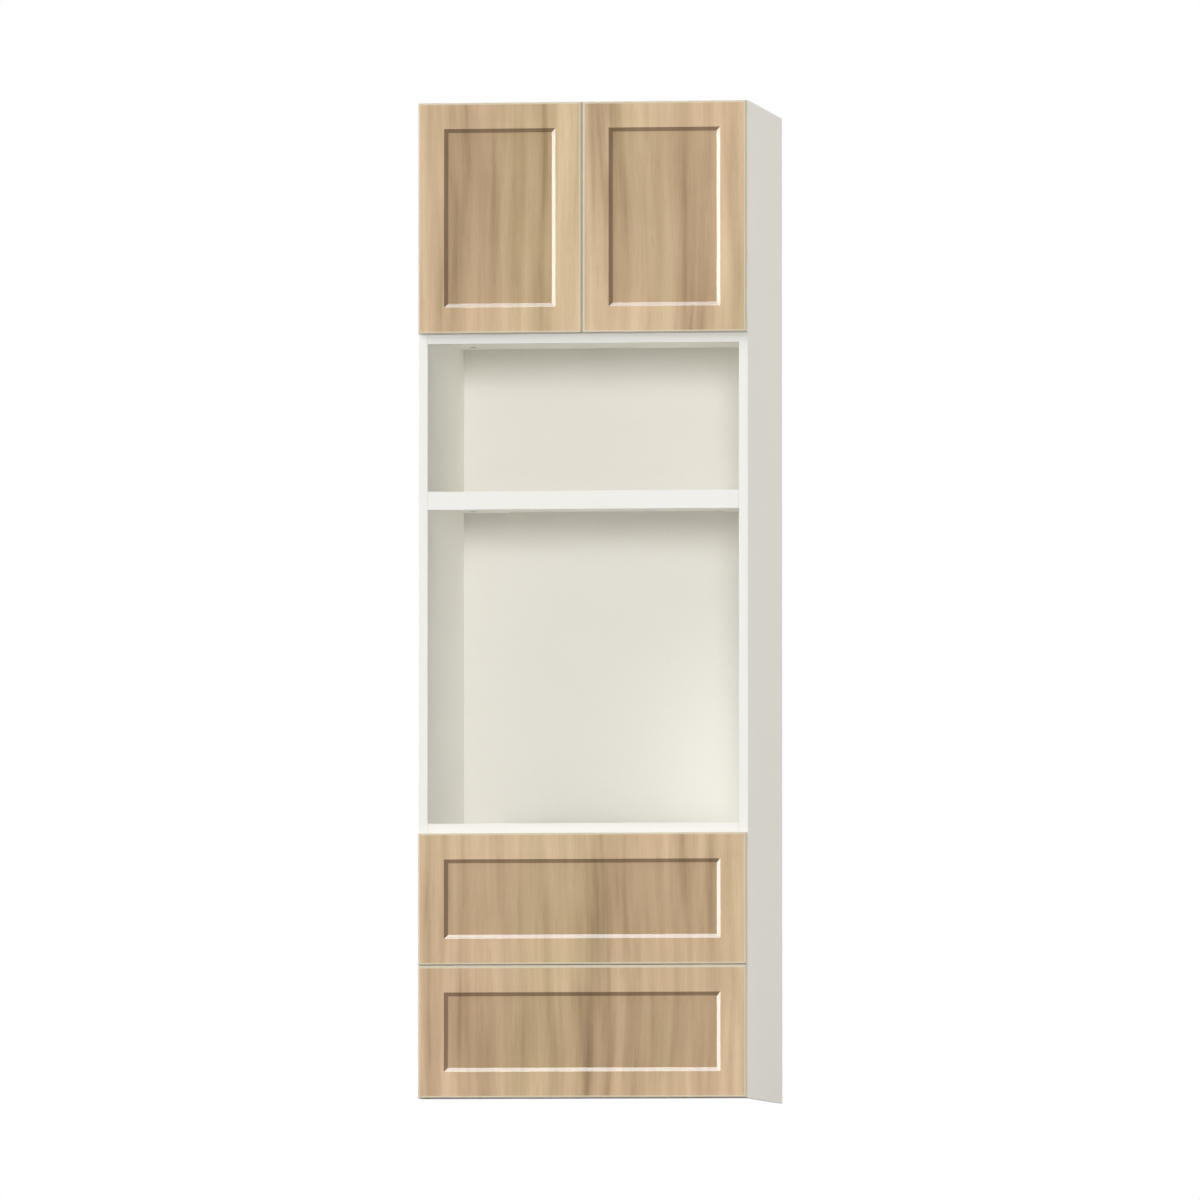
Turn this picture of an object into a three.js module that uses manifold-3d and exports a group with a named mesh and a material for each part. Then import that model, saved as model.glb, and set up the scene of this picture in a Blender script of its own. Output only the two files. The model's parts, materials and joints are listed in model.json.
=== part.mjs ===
// Tall oven housing unit: carcass with two open niches, two routed doors on concealed
// hinges above them and two drawers on telescoping runners below.
// Millimetres. +X to the viewer's right, the fronts face -Y, +Z up.
// The origin is the middle of the footprint, on the floor.
import * as THREE from "three";
import { mergeVertices } from "three/addons/utils/BufferGeometryUtils.js";
import Module from "manifold-3d";

const wasm = await Module();
wasm.setup();

// ---- Driving sizes ---------------------------------------------------------------------

// Carcass
const WIDTH = 762;
const CARCASS_DEPTH = 610;
const BOARD = 21;
const RAIL_HEIGHT = 42;
const BACK_THICKNESS = 8;
const GROOVE_DEPTH = 8;
const DADO_DEPTH = 3;
const SHELF_THICKNESS = 18;
const SHELF_SETBACK = 30;
const WALL_RAIL_HEIGHT = 100;
const VENT_WIDTH = 500;
const VENT_DEPTH = 50;

// Heights of the five bays, from the floor up
const LOWER_DRAWER_BAY = 304.8;
const UPPER_DRAWER_BAY = 304.8;
const OVEN_BAY = 762;
const MICRO_BAY = 381;
const CUPBOARD_BAY = 533.4;

// Fronts
const FRONT_THICKNESS = 19;
const FRONT_STANDOFF = 2;
const REVEAL = 1.5;
const FRAME_WIDTH = 60;
const BEVEL_WIDTH = 10;
const RECESS_DEPTH = 8;
const FRONT_EDGE_RADIUS = 2;

// Drawer boxes
const BOX_LENGTH = 550;
const BOX_HEIGHT = 200;
const BOX_BOARD = 16;
const BOX_BOTTOM = 8;
const BOX_BOTTOM_UP = 12;
const BOX_GROOVE = 6;
const BOX_LIFT = 40;

// Runners
const RUNNER_LENGTH = 550;
const RUNNER_HEIGHT = 45;
const RUNNER_DEPTH = 12.7;
const RUNNER_SHEET = 1.2;
const RUNNER_LIP = 3;
const RUNNER_PLAY = 0.4;
const RUNNER_SETBACK = 3;
const RUNNER_UP = 100;
const RUNNER_SCREW_BORE = 5;
const RUNNER_SCREW_SHARES = [0.1, 0.5, 0.9];

// Hinges, in the plane across a hinge: u runs inward from the carcass side,
// v runs back from the carcass front
const HINGE_END = 100;
const CUP_RADIUS = 17.5;
const CUP_DEPTH = 11.5;
const CUP_WALL = 0.9;
const CUP_EDGE = 5;
const FLANGE_THICKNESS = 1;
const FLANGE_RADIUS = 19;
const FLANGE_EAR_U = 33.5;
const FLANGE_EAR_SPREAD = 24;
const FLANGE_EAR_RADIUS = 5.5;
const HINGE_SCREW_BORE = 4.2;
const LUG_THICKNESS = 2;
const INNER_ARM_PIVOT = [39.25, 28.4];
const INNER_CUP_PIVOT = [11.47, -3.23];
const OUTER_ARM_PIVOT = [35.1, 5.69];
const OUTER_CUP_PIVOT = [15.14, -6];
const PIN_RADIUS = 1.2;
const LINK_THICKNESS = 2.6;
const LINK_BOSS = 2.2;
const LINK_SPACE = 13.2;
const OUTER_LINK_WIDTH = 3.4;
// The links' centre lines between their pivots, round the front corner of the side panel
const INNER_LINK_BENDS = [[39.2, 18], [32.4, 7.5], [28.6, 0], [22.5, -5.9], [15, -7.5], [12.2, -6]];
const OUTER_LINK_BENDS = [[34.4, 0], [33, -6.3], [28, -9.6], [19, -10.4], [15.4, -8.8]];
const INNER_BEND_RADIUS = 8;
const OUTER_BEND_RADIUS = 5;
const ARM_SHEET = 1.5;
// The arm's side: low over the plate at the rear, cranked up to the links' pivots in front
const ARM_FOOT_U = 24.3;
const ARM_NOSE_V = 2.2;
const ARM_CREST_U = 43.2;
const ARM_TAIL_U = 31.2;
const ARM_CRANK_V = [32, 50];
const ARM_END_V = 67;
const ARM_BEND_RADIUS = 3;
const ARM_SLOT_V = [55, 60];
const PLATE_SHEET = 1.6;
const PLATE_SCREW_V = 37;
const PLATE_SCREW_SPREAD = 16;
const PLATE_WING_RADIUS = 6.5;
const PLATE_BODY_HEIGHT = 6;
const PLATE_BODY_LENGTH = 32;

// Hinge motion: shares of the door's turn that each link makes, the other way round
const DOOR_OPENING = 100;
const INNER_LINK_SHARE = 0.4147;
const OUTER_LINK_SHARE = 0.64;

// Fits
const GAP = 0.3;
const CUP_FIT = 0.15;

// ---- Sizes worked out ------------------------------------------------------------------

const HEIGHT = LOWER_DRAWER_BAY + UPPER_DRAWER_BAY + OVEN_BAY + MICRO_BAY + CUPBOARD_BAY;
const HALF = WIDTH / 2;
const INSIDE = HALF - BOARD;
const DEPTH = FRONT_THICKNESS + FRONT_STANDOFF + CARCASS_DEPTH;
const REAR = DEPTH / 2;
const CARCASS_FRONT = REAR - CARCASS_DEPTH;
const FRONT_FACE = -REAR;
const FRONT_REAR = FRONT_FACE + FRONT_THICKNESS;
const BACK_REAR = REAR - BOARD - GAP;
const BACK_FRONT = BACK_REAR - BACK_THICKNESS;
const DECK_REAR = BACK_FRONT - GAP;

const UPPER_DRAWER_BASE = LOWER_DRAWER_BAY;
const OVEN_BASE = UPPER_DRAWER_BASE + UPPER_DRAWER_BAY;
const MICRO_BASE = OVEN_BASE + OVEN_BAY;
const CUPBOARD_BASE = MICRO_BASE + MICRO_BAY;
const SHELF_MIDDLE = (CUPBOARD_BASE + RAIL_HEIGHT / 2 + HEIGHT - BOARD) / 2;

const CUP_U = REVEAL + CUP_EDGE + CUP_RADIUS;
const DOOR_REAR_V = -FRONT_STANDOFF;
const CUP_RIM_V = DOOR_REAR_V + GAP + FLANGE_THICKNESS;
const CUP_FLOOR_V = DOOR_REAR_V - CUP_DEPTH;
const PLATE_U = BOARD + GAP;

// ---- Materials -------------------------------------------------------------------------

const material = (color, roughness, metalness) =>
  new THREE.MeshStandardMaterial({ color, roughness, metalness });

const MELAMINE = material(0xe9e6df, 0.55, 0);
const BACKING = material(0xdedad0, 0.6, 0);
const WOOD_FOIL = material(0xcfb592, 0.5, 0);
const BOX_MELAMINE = material(0xe4e1d9, 0.55, 0);
const ZINC_STEEL = material(0xb9bcc0, 0.35, 0.9);
const NICKEL = material(0xc9c8c4, 0.28, 0.95);

// ---- Solids ----------------------------------------------------------------------------

function toSolid(geometry) {
  const flat = geometry.index ? geometry.toNonIndexed() : geometry;
  const bare = new THREE.BufferGeometry();
  bare.setAttribute("position", flat.getAttribute("position").clone());
  const merged = mergeVertices(bare, 1e-4);
  return new wasm.Manifold(
    new wasm.Mesh({
      numProp: 3,
      vertProperties: merged.attributes.position.array,
      triVerts: new Uint32Array(merged.index.array),
    }),
  );
}

function toGeometry(solid) {
  const mesh = solid.getMesh();
  const indexed = new THREE.BufferGeometry();
  indexed.setAttribute("position", new THREE.BufferAttribute(mesh.vertProperties, 3));
  indexed.setIndex(new THREE.BufferAttribute(mesh.triVerts, 1));
  const geometry = indexed.toNonIndexed();
  geometry.computeVertexNormals();
  return geometry;
}

function cut(geometry, ...tools) {
  const left = tools.reduce((solid, tool) => solid.subtract(toSolid(tool)), toSolid(geometry));
  return toGeometry(left);
}

function join(...geometries) {
  const [first, ...others] = geometries.map(toSolid);
  return toGeometry(others.reduce((solid, other) => solid.add(other), first));
}

function common(geometry, tool) {
  return toGeometry(toSolid(geometry).intersect(toSolid(tool)));
}

function block([x0, x1], [y0, y1], [z0, z1]) {
  const geometry = new THREE.BoxGeometry(x1 - x0, y1 - y0, z1 - z0);
  return geometry.translate((x0 + x1) / 2, (y0 + y1) / 2, (z0 + z1) / 2);
}

// A rod along local z.
function rod(radius, [z0, z1], segments = 12) {
  const geometry = new THREE.CylinderGeometry(radius, radius, z1 - z0, segments);
  return geometry.rotateX(Math.PI / 2).translate(0, 0, (z0 + z1) / 2);
}

// The same solid on the other side of the plane x = 0.
function mirrored(geometry) {
  const copy = geometry.index ? geometry.toNonIndexed() : geometry.clone();
  copy.scale(-1, 1, 1);
  const position = copy.getAttribute("position");
  const corner = new THREE.Vector3();
  const other = new THREE.Vector3();
  for (let i = 0; i < position.count; i += 3) {
    corner.fromBufferAttribute(position, i + 1);
    other.fromBufferAttribute(position, i + 2);
    position.setXYZ(i + 1, other.x, other.y, other.z);
    position.setXYZ(i + 2, corner.x, corner.y, corner.z);
  }
  copy.computeVertexNormals();
  return copy;
}

// ---- Outlines --------------------------------------------------------------------------

const vectors = (points) => points.map(([x, y]) => new THREE.Vector2(x, y));

// Corners of a line or outline rounded to a radius, or to half the shorter leg.
function roundedPoints(points, radius, closed, steps = 3) {
  const corners = vectors(points);
  const count = corners.length;
  const result = [];
  corners.forEach((corner, i) => {
    if (!closed && (i === 0 || i === count - 1)) {
      result.push(corner);
      return;
    }
    const before = corners[(i + count - 1) % count];
    const after = corners[(i + 1) % count];
    const toBefore = before.clone().sub(corner);
    const toAfter = after.clone().sub(corner);
    const half = Math.abs(toBefore.angleTo(toAfter)) / 2;
    const reach = Math.min(radius / Math.tan(half), toBefore.length() / 2, toAfter.length() / 2);
    const start = corner.clone().add(toBefore.setLength(reach));
    const end = corner.clone().add(toAfter.setLength(reach));
    const bend = new THREE.QuadraticBezierCurve(start, corner, end);
    result.push(...bend.getPoints(steps));
  });
  return result;
}

// A bent strip of sheet: its centre line thickened to both sides, mitred at each point.
function stripShape(line, thickness) {
  const side = (sign) =>
    line.map((point, i) => {
      const before = line[Math.max(i - 1, 0)];
      const after = line[Math.min(i + 1, line.length - 1)];
      const first = (i === 0 ? after.clone().sub(point) : point.clone().sub(before)).normalize();
      const last = (i === line.length - 1 ? first.clone() : after.clone().sub(point)).normalize();
      const normal = new THREE.Vector2(-first.y - last.y, first.x + last.x);
      const mitre = (sign * thickness) / (1 + first.dot(last)) / 2;
      return point.clone().addScaledVector(normal, mitre);
    });
  return new THREE.Shape([...side(1), ...side(-1).reverse()]);
}

// An outline drawn in local x, y and pushed out along local z.
function slab(shape, [z0, z1]) {
  const geometry = new THREE.ExtrudeGeometry(shape, { depth: z1 - z0, bevelEnabled: false });
  return geometry.translate(0, 0, z0);
}

function rectangle(width, height) {
  const [x, y] = [width / 2, height / 2];
  return new THREE.Shape(vectors([[-x, -y], [x, -y], [x, y], [-x, y]]));
}

// A rounded bar with its long axis along local y.
function earedShape(x, spread, radius) {
  const shape = new THREE.Shape();
  shape.absarc(x, spread, radius, 0, Math.PI);
  shape.absarc(x, -spread, radius, Math.PI, 2 * Math.PI);
  return shape;
}

// ---- The assembly ----------------------------------------------------------------------

const unit = new THREE.Group();
unit.name = "tall_oven_housing_unit";

// Each piece hangs on its own middle, so that its mesh is placed by its position.
function piece(name, geometry, look, group = unit) {
  const centre = new THREE.Vector3();
  geometry.computeBoundingBox();
  geometry.boundingBox.getCenter(centre);
  geometry.translate(-centre.x, -centre.y, -centre.z);
  const mesh = new THREE.Mesh(geometry, look);
  mesh.name = name;
  mesh.position.copy(centre);
  group.add(mesh);
  return mesh;
}

function group(name) {
  const made = new THREE.Group();
  made.name = name;
  unit.add(made);
  return made;
}

// ---- Carcass ---------------------------------------------------------------------------

const across = [-INSIDE + GAP, INSIDE - GAP];

// The side panel on the left, grooved for the back panels and dadoed for the shelf.
function sidePanel() {
  const panel = block([-HALF, -INSIDE], [CARCASS_FRONT, REAR], [0, HEIGHT]);
  const groove = block(
    [-INSIDE - GROOVE_DEPTH, -INSIDE + BOARD],
    [BACK_FRONT - GAP, BACK_REAR + GAP],
    [-BOARD, HEIGHT + BOARD],
  );
  const dado = block(
    [-INSIDE - DADO_DEPTH, -INSIDE + BOARD],
    [CARCASS_FRONT + SHELF_SETBACK - GAP, DECK_REAR + GAP],
    [SHELF_MIDDLE - SHELF_THICKNESS / 2 - GAP, SHELF_MIDDLE + SHELF_THICKNESS / 2 + GAP],
  );
  return cut(panel, groove, dado);
}

// A bay line runs through the middle of its front rail, and the deck is flush with the rail's top.
const deckTop = (bayLine) => bayLine + RAIL_HEIGHT / 2;

function deck(top, vented) {
  const board = block(across, [CARCASS_FRONT + BOARD + GAP, DECK_REAR], [top - BOARD, top]);
  if (!vented) return board;
  const notch = block(
    [-VENT_WIDTH / 2, VENT_WIDTH / 2],
    [DECK_REAR - VENT_DEPTH, DECK_REAR + BOARD],
    [top - 2 * BOARD, top + BOARD],
  );
  return cut(board, notch);
}

function frontRail(bayLine) {
  const z = [deckTop(bayLine) - RAIL_HEIGHT, deckTop(bayLine)];
  return block(across, [CARCASS_FRONT, CARCASS_FRONT + BOARD], z);
}

// A back panel between two heights, held in the grooves of the side panels.
function backPanel([z0, z1]) {
  const reach = INSIDE + GROOVE_DEPTH - GAP;
  return block([-reach, reach], [BACK_FRONT, BACK_REAR], [z0, z1]);
}

function addCarcass() {
  const carcass = group("carcass");
  const add = (name, geometry, look = MELAMINE) => piece(name, geometry, look, carcass);

  add("left_side_panel", sidePanel());
  add("right_side_panel", mirrored(sidePanel()));
  add("bottom_panel", block(across, [CARCASS_FRONT, DECK_REAR], [0, BOARD]));
  add("top_panel", block(across, [CARCASS_FRONT, DECK_REAR], [HEIGHT - BOARD, HEIGHT]));

  const decks = [
    ["oven", OVEN_BASE, true],
    ["niche", MICRO_BASE, true],
    ["cupboard", CUPBOARD_BASE, false],
  ];
  for (const [name, bayLine, vented] of decks) {
    add(`${name}_rail`, frontRail(bayLine));
    add(`${name}_deck`, deck(deckTop(bayLine), vented));
  }

  // The back panels meet behind the middle of a deck, so that each deck backs both.
  const ovenSeam = deckTop(OVEN_BASE) - BOARD / 2;
  const cupboardSeam = deckTop(CUPBOARD_BASE) - BOARD / 2;
  add("drawer_back", backPanel([0, ovenSeam - GAP / 2]), BACKING);
  add("niche_back", backPanel([ovenSeam + GAP / 2, cupboardSeam - GAP / 2]), BACKING);
  add("cupboard_back", backPanel([cupboardSeam + GAP / 2, HEIGHT]), BACKING);

  const shelfReach = INSIDE + DADO_DEPTH - GAP;
  const shelf = block(
    [-shelfReach, shelfReach],
    [CARCASS_FRONT + SHELF_SETBACK, DECK_REAR],
    [SHELF_MIDDLE - SHELF_THICKNESS / 2, SHELF_MIDDLE + SHELF_THICKNESS / 2],
  );
  add("cupboard_shelf", shelf);
  add("wall_rail", block(across, [REAR - BOARD, REAR], [HEIGHT - WALL_RAIL_HEIGHT, HEIGHT]));
}

// ---- Fronts ----------------------------------------------------------------------------

// A one-piece front: a slab with eased face edges and a bevelled recess inside a wide frame.
// Local z points at the viewer and is 0 on the rear face.
function routedFront(width, height) {
  const radius = FRONT_EDGE_RADIUS;
  const eased = new THREE.ExtrudeGeometry(rectangle(width - 2 * radius, height - 2 * radius), {
    depth: FRONT_THICKNESS - radius,
    bevelThickness: radius,
    bevelSize: radius,
    bevelSegments: 3,
  });
  const room = block([-width, width], [-height, height], [0, 2 * FRONT_THICKNESS]);
  const flatWidth = width - 2 * (FRAME_WIDTH + BEVEL_WIDTH);
  const flatHeight = height - 2 * (FRAME_WIDTH + BEVEL_WIDTH);
  const router = new THREE.ExtrudeGeometry(rectangle(flatWidth, flatHeight), {
    depth: FRONT_THICKNESS,
    bevelThickness: RECESS_DEPTH,
    bevelSize: BEVEL_WIDTH,
    bevelSegments: 1,
  });
  router.translate(0, 0, FRONT_THICKNESS);
  return cut(common(eased, room), router);
}

// Stands a front up in its place: its left and right edges, and its foot and head.
function standingFront([x0, x1], [z0, z1], bores = []) {
  const front = routedFront(x1 - x0, z1 - z0);
  front.rotateX(Math.PI / 2);
  front.translate((x0 + x1) / 2, FRONT_REAR, (z0 + z1) / 2);
  return bores.length ? cut(front, ...bores) : front;
}

// ---- Hinges ----------------------------------------------------------------------------

// Left hinges are drawn in u, v and local z, then moved to their place.
const place = (geometry, height) => geometry.translate(-HALF, CARCASS_FRONT, height);

// A round hole or pin at a point of the hinge plane.
function pin([u, v], radius, reach) {
  return rod(radius, reach).translate(u, v, 0);
}

// Turns a point of the hinge plane about a pivot, the way the door opens.
function turned([u, v], [pu, pv], angle) {
  const moved = new THREE.Vector2(u - pu, v - pv);
  moved.rotateAround(new THREE.Vector2(), -angle);
  return [pu + moved.x, pv + moved.y];
}

// The way of the outer link's pin through the cup, as the door opens: the slot that guides it.
function outerPinWay(steps = 5) {
  const way = [];
  for (let i = 0; i <= steps; i++) {
    const door = (THREE.MathUtils.degToRad(DOOR_OPENING) * i) / steps;
    const cupPivot = turned(INNER_CUP_PIVOT, INNER_ARM_PIVOT, -INNER_LINK_SHARE * door);
    const linkEnd = turned(OUTER_CUP_PIVOT, OUTER_ARM_PIVOT, -OUTER_LINK_SHARE * door);
    const [u, v] = turned(linkEnd, cupPivot, -door);
    way.push([u - cupPivot[0] + INNER_CUP_PIVOT[0], v - cupPivot[1] + INNER_CUP_PIVOT[1]]);
  }
  return way;
}

const LUG_INNER = LINK_SPACE / 2;
const LUG_REACH = LUG_INNER + LUG_THICKNESS;
const PIN_BORE = PIN_RADIUS + GAP;
const CUP_SIDES = 28;

// The bowl: a turned cup whose rim is level with the flange.
function cupBowl(outer, inner) {
  const floor = CUP_FLOOR_V + CUP_WALL;
  const profile = vectors([
    [0, CUP_FLOOR_V], [outer, CUP_FLOOR_V], [outer, CUP_RIM_V],
    [inner, CUP_RIM_V], [inner, floor], [0, floor],
  ]);
  return new THREE.LatheGeometry(profile, CUP_SIDES).translate(CUP_U, 0, 0);
}

// The flange: a ring on the door's back with an ear and a screw hole at each end.
function cupFlange(inner) {
  const disc = rod(FLANGE_RADIUS, [0, FLANGE_THICKNESS], CUP_SIDES).translate(CUP_U, 0, 0);
  const through = [-FLANGE_THICKNESS, 2 * FLANGE_THICKNESS];
  const mouth = rod(inner, through, CUP_SIDES).translate(CUP_U, 0, 0);
  const screws = [-1, 1].map((end) =>
    rod(HINGE_SCREW_BORE / 2, through, 10).translate(FLANGE_EAR_U, end * FLANGE_EAR_SPREAD, 0),
  );
  const ears = slab(earedShape(FLANGE_EAR_U, FLANGE_EAR_SPREAD, FLANGE_EAR_RADIUS), [0, FLANGE_THICKNESS]);
  const flange = cut(join(disc, ears), mouth, ...screws);
  return flange.rotateX(-Math.PI / 2).translate(0, CUP_RIM_V - FLANGE_THICKNESS, 0);
}

// Two lugs inside the bowl, which carry the links' pins.
function cupLugs(outer) {
  const span = [CUP_U - outer, OUTER_CUP_PIVOT[0] + 2 * LINK_BOSS];
  const depth = [CUP_FLOOR_V, CUP_RIM_V];
  const lugs = join(
    block(span, depth, [LUG_INNER, LUG_REACH]),
    block(span, depth, [-LUG_REACH, -LUG_INNER]),
  );
  const room = rod(outer, depth, CUP_SIDES).rotateX(-Math.PI / 2).translate(CUP_U, 0, 0);
  return common(lugs, room);
}

function hingeCup() {
  const outer = CUP_RADIUS - CUP_FIT;
  const inner = outer - CUP_WALL;
  const cup = join(cupBowl(outer, inner), cupFlange(inner), cupLugs(outer));
  const pivotBore = pin(INNER_CUP_PIVOT, PIN_BORE, [GAP - LUG_REACH, LUG_REACH - GAP]);
  const slot = join(...outerPinWay().map((at) => pin(at, PIN_BORE, [0, LUG_REACH - GAP])));
  return cut(cup, pivotBore, slot);
}

// The inner link: a broad curved link round the front corner of the side panel.
function innerLink() {
  const corners = [INNER_ARM_PIVOT, ...INNER_LINK_BENDS, INNER_CUP_PIVOT];
  const line = roundedPoints(corners, INNER_BEND_RADIUS, false, 2);
  const reach = [-LUG_INNER + GAP, LUG_INNER - OUTER_LINK_WIDTH - 2 * GAP];
  const across = [2 * GAP - LUG_REACH, LUG_REACH - 2 * GAP];
  return join(
    slab(stripShape(line, LINK_THICKNESS), reach),
    pin(INNER_ARM_PIVOT, LINK_BOSS, reach),
    pin(INNER_CUP_PIVOT, LINK_BOSS, reach),
    pin(INNER_ARM_PIVOT, PIN_RADIUS, across),
    pin(INNER_CUP_PIVOT, PIN_RADIUS, across),
  );
}

// The outer link: narrower, beside the inner one, with its pins on one side.
function outerLink() {
  const corners = [OUTER_ARM_PIVOT, ...OUTER_LINK_BENDS, OUTER_CUP_PIVOT];
  const line = roundedPoints(corners, OUTER_BEND_RADIUS, false, 2);
  const reach = [LUG_INNER - OUTER_LINK_WIDTH - GAP, LUG_INNER - GAP];
  const across = [reach[0], LUG_REACH - 2 * GAP];
  return join(
    slab(stripShape(line, LINK_THICKNESS), reach),
    pin(OUTER_ARM_PIVOT, LINK_BOSS, reach),
    pin(OUTER_CUP_PIVOT, LINK_BOSS, reach),
    pin(OUTER_ARM_PIVOT, PIN_RADIUS, across),
    pin(OUTER_CUP_PIVOT, PIN_RADIUS, across),
  );
}

// The arm: a cranked channel that holds both links' pivots and straddles the mounting plate.
function hingeArm() {
  const [crank, level] = ARM_CRANK_V;
  const outline = [
    [ARM_FOOT_U, ARM_END_V],
    [ARM_FOOT_U, (crank + level) / 2],
    [OUTER_ARM_PIVOT[0] - 2 * LINK_BOSS, ARM_NOSE_V],
    [OUTER_ARM_PIVOT[0] + 1.5 * LINK_BOSS, ARM_NOSE_V],
    [ARM_CREST_U, INNER_ARM_PIVOT[1] - 2 * LINK_BOSS],
    [ARM_CREST_U, crank],
    [ARM_TAIL_U, level],
    [ARM_TAIL_U, ARM_END_V],
  ];
  // Inside, only the web is left: the pocket opens towards the side panel, the front and the rear.
  const webStart = INNER_ARM_PIVOT[1] + LINK_BOSS + 2 * GAP;
  const pocket = [
    [0, ARM_END_V + BOARD],
    [0, -BOARD],
    [2 * ARM_CREST_U, -BOARD],
    [2 * ARM_CREST_U, webStart],
    [ARM_CREST_U - ARM_SHEET, webStart],
    [ARM_TAIL_U - ARM_SHEET, level - ARM_SHEET / 2],
    [ARM_TAIL_U - ARM_SHEET, ARM_END_V + BOARD],
  ];
  const half = LUG_INNER + ARM_SHEET;
  const side = new THREE.Shape(roundedPoints(outline, ARM_BEND_RADIUS, true));
  const bores = [INNER_ARM_PIVOT, OUTER_ARM_PIVOT].map((at) => pin(at, PIN_BORE, [-2 * half, 2 * half]));
  return cut(
    slab(side, [-half, half]),
    slab(new THREE.Shape(vectors(pocket)), [-LUG_INNER, LUG_INNER]),
    armSlot(),
    ...bores,
  );
}

// The slot in the arm's tail for the screw that clamps it to the plate.
function armSlot() {
  const ends = ARM_SLOT_V.map((v) =>
    rod(HINGE_SCREW_BORE / 2, [0, ARM_CREST_U], 12).rotateY(Math.PI / 2).translate(0, v, 0),
  );
  const half = HINGE_SCREW_BORE / 2;
  return join(...ends, block([0, ARM_CREST_U], ARM_SLOT_V, [-half, half]));
}

// The mounting plate: a winged sheet on the side panel with a raised body for the arm.
// Drawn in v and local z, then stood on the side panel.
function mountingPlate() {
  const wings = slab(
    earedShape(PLATE_SCREW_V, PLATE_SCREW_SPREAD, PLATE_WING_RADIUS),
    [0, PLATE_SHEET],
  );
  const screws = [-1, 1].map((end) =>
    rod(HINGE_SCREW_BORE / 2, [-1, PLATE_SHEET + 1], 10)
      .translate(PLATE_SCREW_V, end * PLATE_SCREW_SPREAD, 0),
  );
  const bodyStart = PLATE_SCREW_V - PLATE_WING_RADIUS;
  const bodyHalf = LUG_INNER - GAP;
  const body = block(
    [bodyStart, bodyStart + PLATE_BODY_LENGTH],
    [-bodyHalf, bodyHalf],
    [0, PLATE_BODY_HEIGHT],
  );
  const plate = cut(join(wings, body), ...screws);
  const upright = new THREE.Matrix4().makeBasis(
    new THREE.Vector3(0, 1, 0),
    new THREE.Vector3(0, 0, 1),
    new THREE.Vector3(1, 0, 0),
  );
  return plate.applyMatrix4(upright).translate(PLATE_U, 0, 0);
}

// ---- Doors -----------------------------------------------------------------------------

const DOOR_Z = [CUPBOARD_BASE + REVEAL, HEIGHT - REVEAL];
const HINGE_HEIGHTS = { lower: DOOR_Z[0] + HINGE_END, upper: DOOR_Z[1] - HINGE_END };

// The bore in the back of the left door for one cup.
function cupBore(height) {
  const bore = rod(CUP_RADIUS, [-BOARD, CUP_DEPTH + GAP], CUP_SIDES);
  bore.rotateX(Math.PI / 2);
  return bore.translate(CUP_U - HALF, FRONT_REAR, height);
}

function addDoors() {
  const heights = Object.entries(HINGE_HEIGHTS);
  const bores = heights.map(([, height]) => cupBore(height));
  const leaf = () => standingFront([-HALF + REVEAL, -REVEAL], DOOR_Z, bores);
  for (const side of ["left", "right"]) {
    const handed = (geometry) => (side === "left" ? geometry : mirrored(geometry));
    const door = group(`${side}_door_set`);
    piece(`${side}_door`, handed(leaf()), WOOD_FOIL, door);
    for (const [level, height] of heights) {
      const add = (part, geometry) =>
        piece(`${side}_${part}_${level}`, handed(place(geometry, height)), NICKEL, door);
      add("hinge_cup", hingeCup());
      add("inner_link", innerLink());
      add("outer_link", outerLink());
      add("hinge_arm", hingeArm());
      add("hinge_plate", mountingPlate());
    }
  }
}

// ---- Runners ---------------------------------------------------------------------------

// Runner sections are drawn in s, from the side panel towards the drawer, and height h.
// Each nests in the one before it and is caught behind its lips.
const halfSheet = RUNNER_SHEET / 2;

// A channel that opens towards the drawer, with lips that turn inward.
function channelLine(s0, s1, halfHeight, lip) {
  const [near, far, h] = [s0 + halfSheet, s1 - halfSheet, halfHeight - halfSheet];
  return [[far, h - lip + halfSheet], [far, h], [near, h], [near, -h], [far, -h],
    [far, -h + lip - halfSheet]];
}

const CABINET_HALF = RUNNER_HEIGHT / 2;
const MIDDLE_HALF = CABINET_HALF - RUNNER_SHEET - RUNNER_PLAY;
const DRAWER_HALF = MIDDLE_HALF - RUNNER_SHEET - RUNNER_PLAY;
const MIDDLE_START = RUNNER_SHEET + RUNNER_PLAY;
const CABINET_END = RUNNER_DEPTH - RUNNER_PLAY;
const MIDDLE_END = CABINET_END - RUNNER_SHEET - RUNNER_PLAY;

const cabinetSection = () => channelLine(0, CABINET_END, CABINET_HALF, RUNNER_LIP);
const middleSection = () => channelLine(MIDDLE_START, MIDDLE_END, MIDDLE_HALF, RUNNER_LIP);

// The drawer member: a hat whose brims run behind the middle member's lips.
function drawerSection() {
  const brim = MIDDLE_START + RUNNER_SHEET + RUNNER_PLAY + halfSheet;
  const crown = RUNNER_DEPTH - halfSheet;
  const leg = MIDDLE_HALF - RUNNER_LIP - RUNNER_PLAY - halfSheet;
  const edge = DRAWER_HALF;
  return [[brim, edge], [brim, leg], [crown, leg], [crown, -leg], [brim, -leg], [brim, -edge]];
}

// A runner member of the left side, drawn out along y from its front end.
function runnerMember(section, length, height) {
  const line = roundedPoints(section, RUNNER_SHEET, false, 2);
  const member = slab(stripShape(line, RUNNER_SHEET), [0, length]);
  member.rotateX(Math.PI / 2);
  const front = CARCASS_FRONT + RUNNER_SETBACK;
  return member.translate(-INSIDE + GAP, front + length, height);
}

// Screw holes along a member, through its web or crown.
function screwBores(height) {
  return RUNNER_SCREW_SHARES.map((share) => {
    const bore = rod(RUNNER_SCREW_BORE / 2, [-1, RUNNER_DEPTH + 1], 12).rotateY(Math.PI / 2);
    const y = CARCASS_FRONT + RUNNER_SETBACK + share * RUNNER_LENGTH;
    return bore.translate(-INSIDE + GAP, y, height);
  });
}

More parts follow.
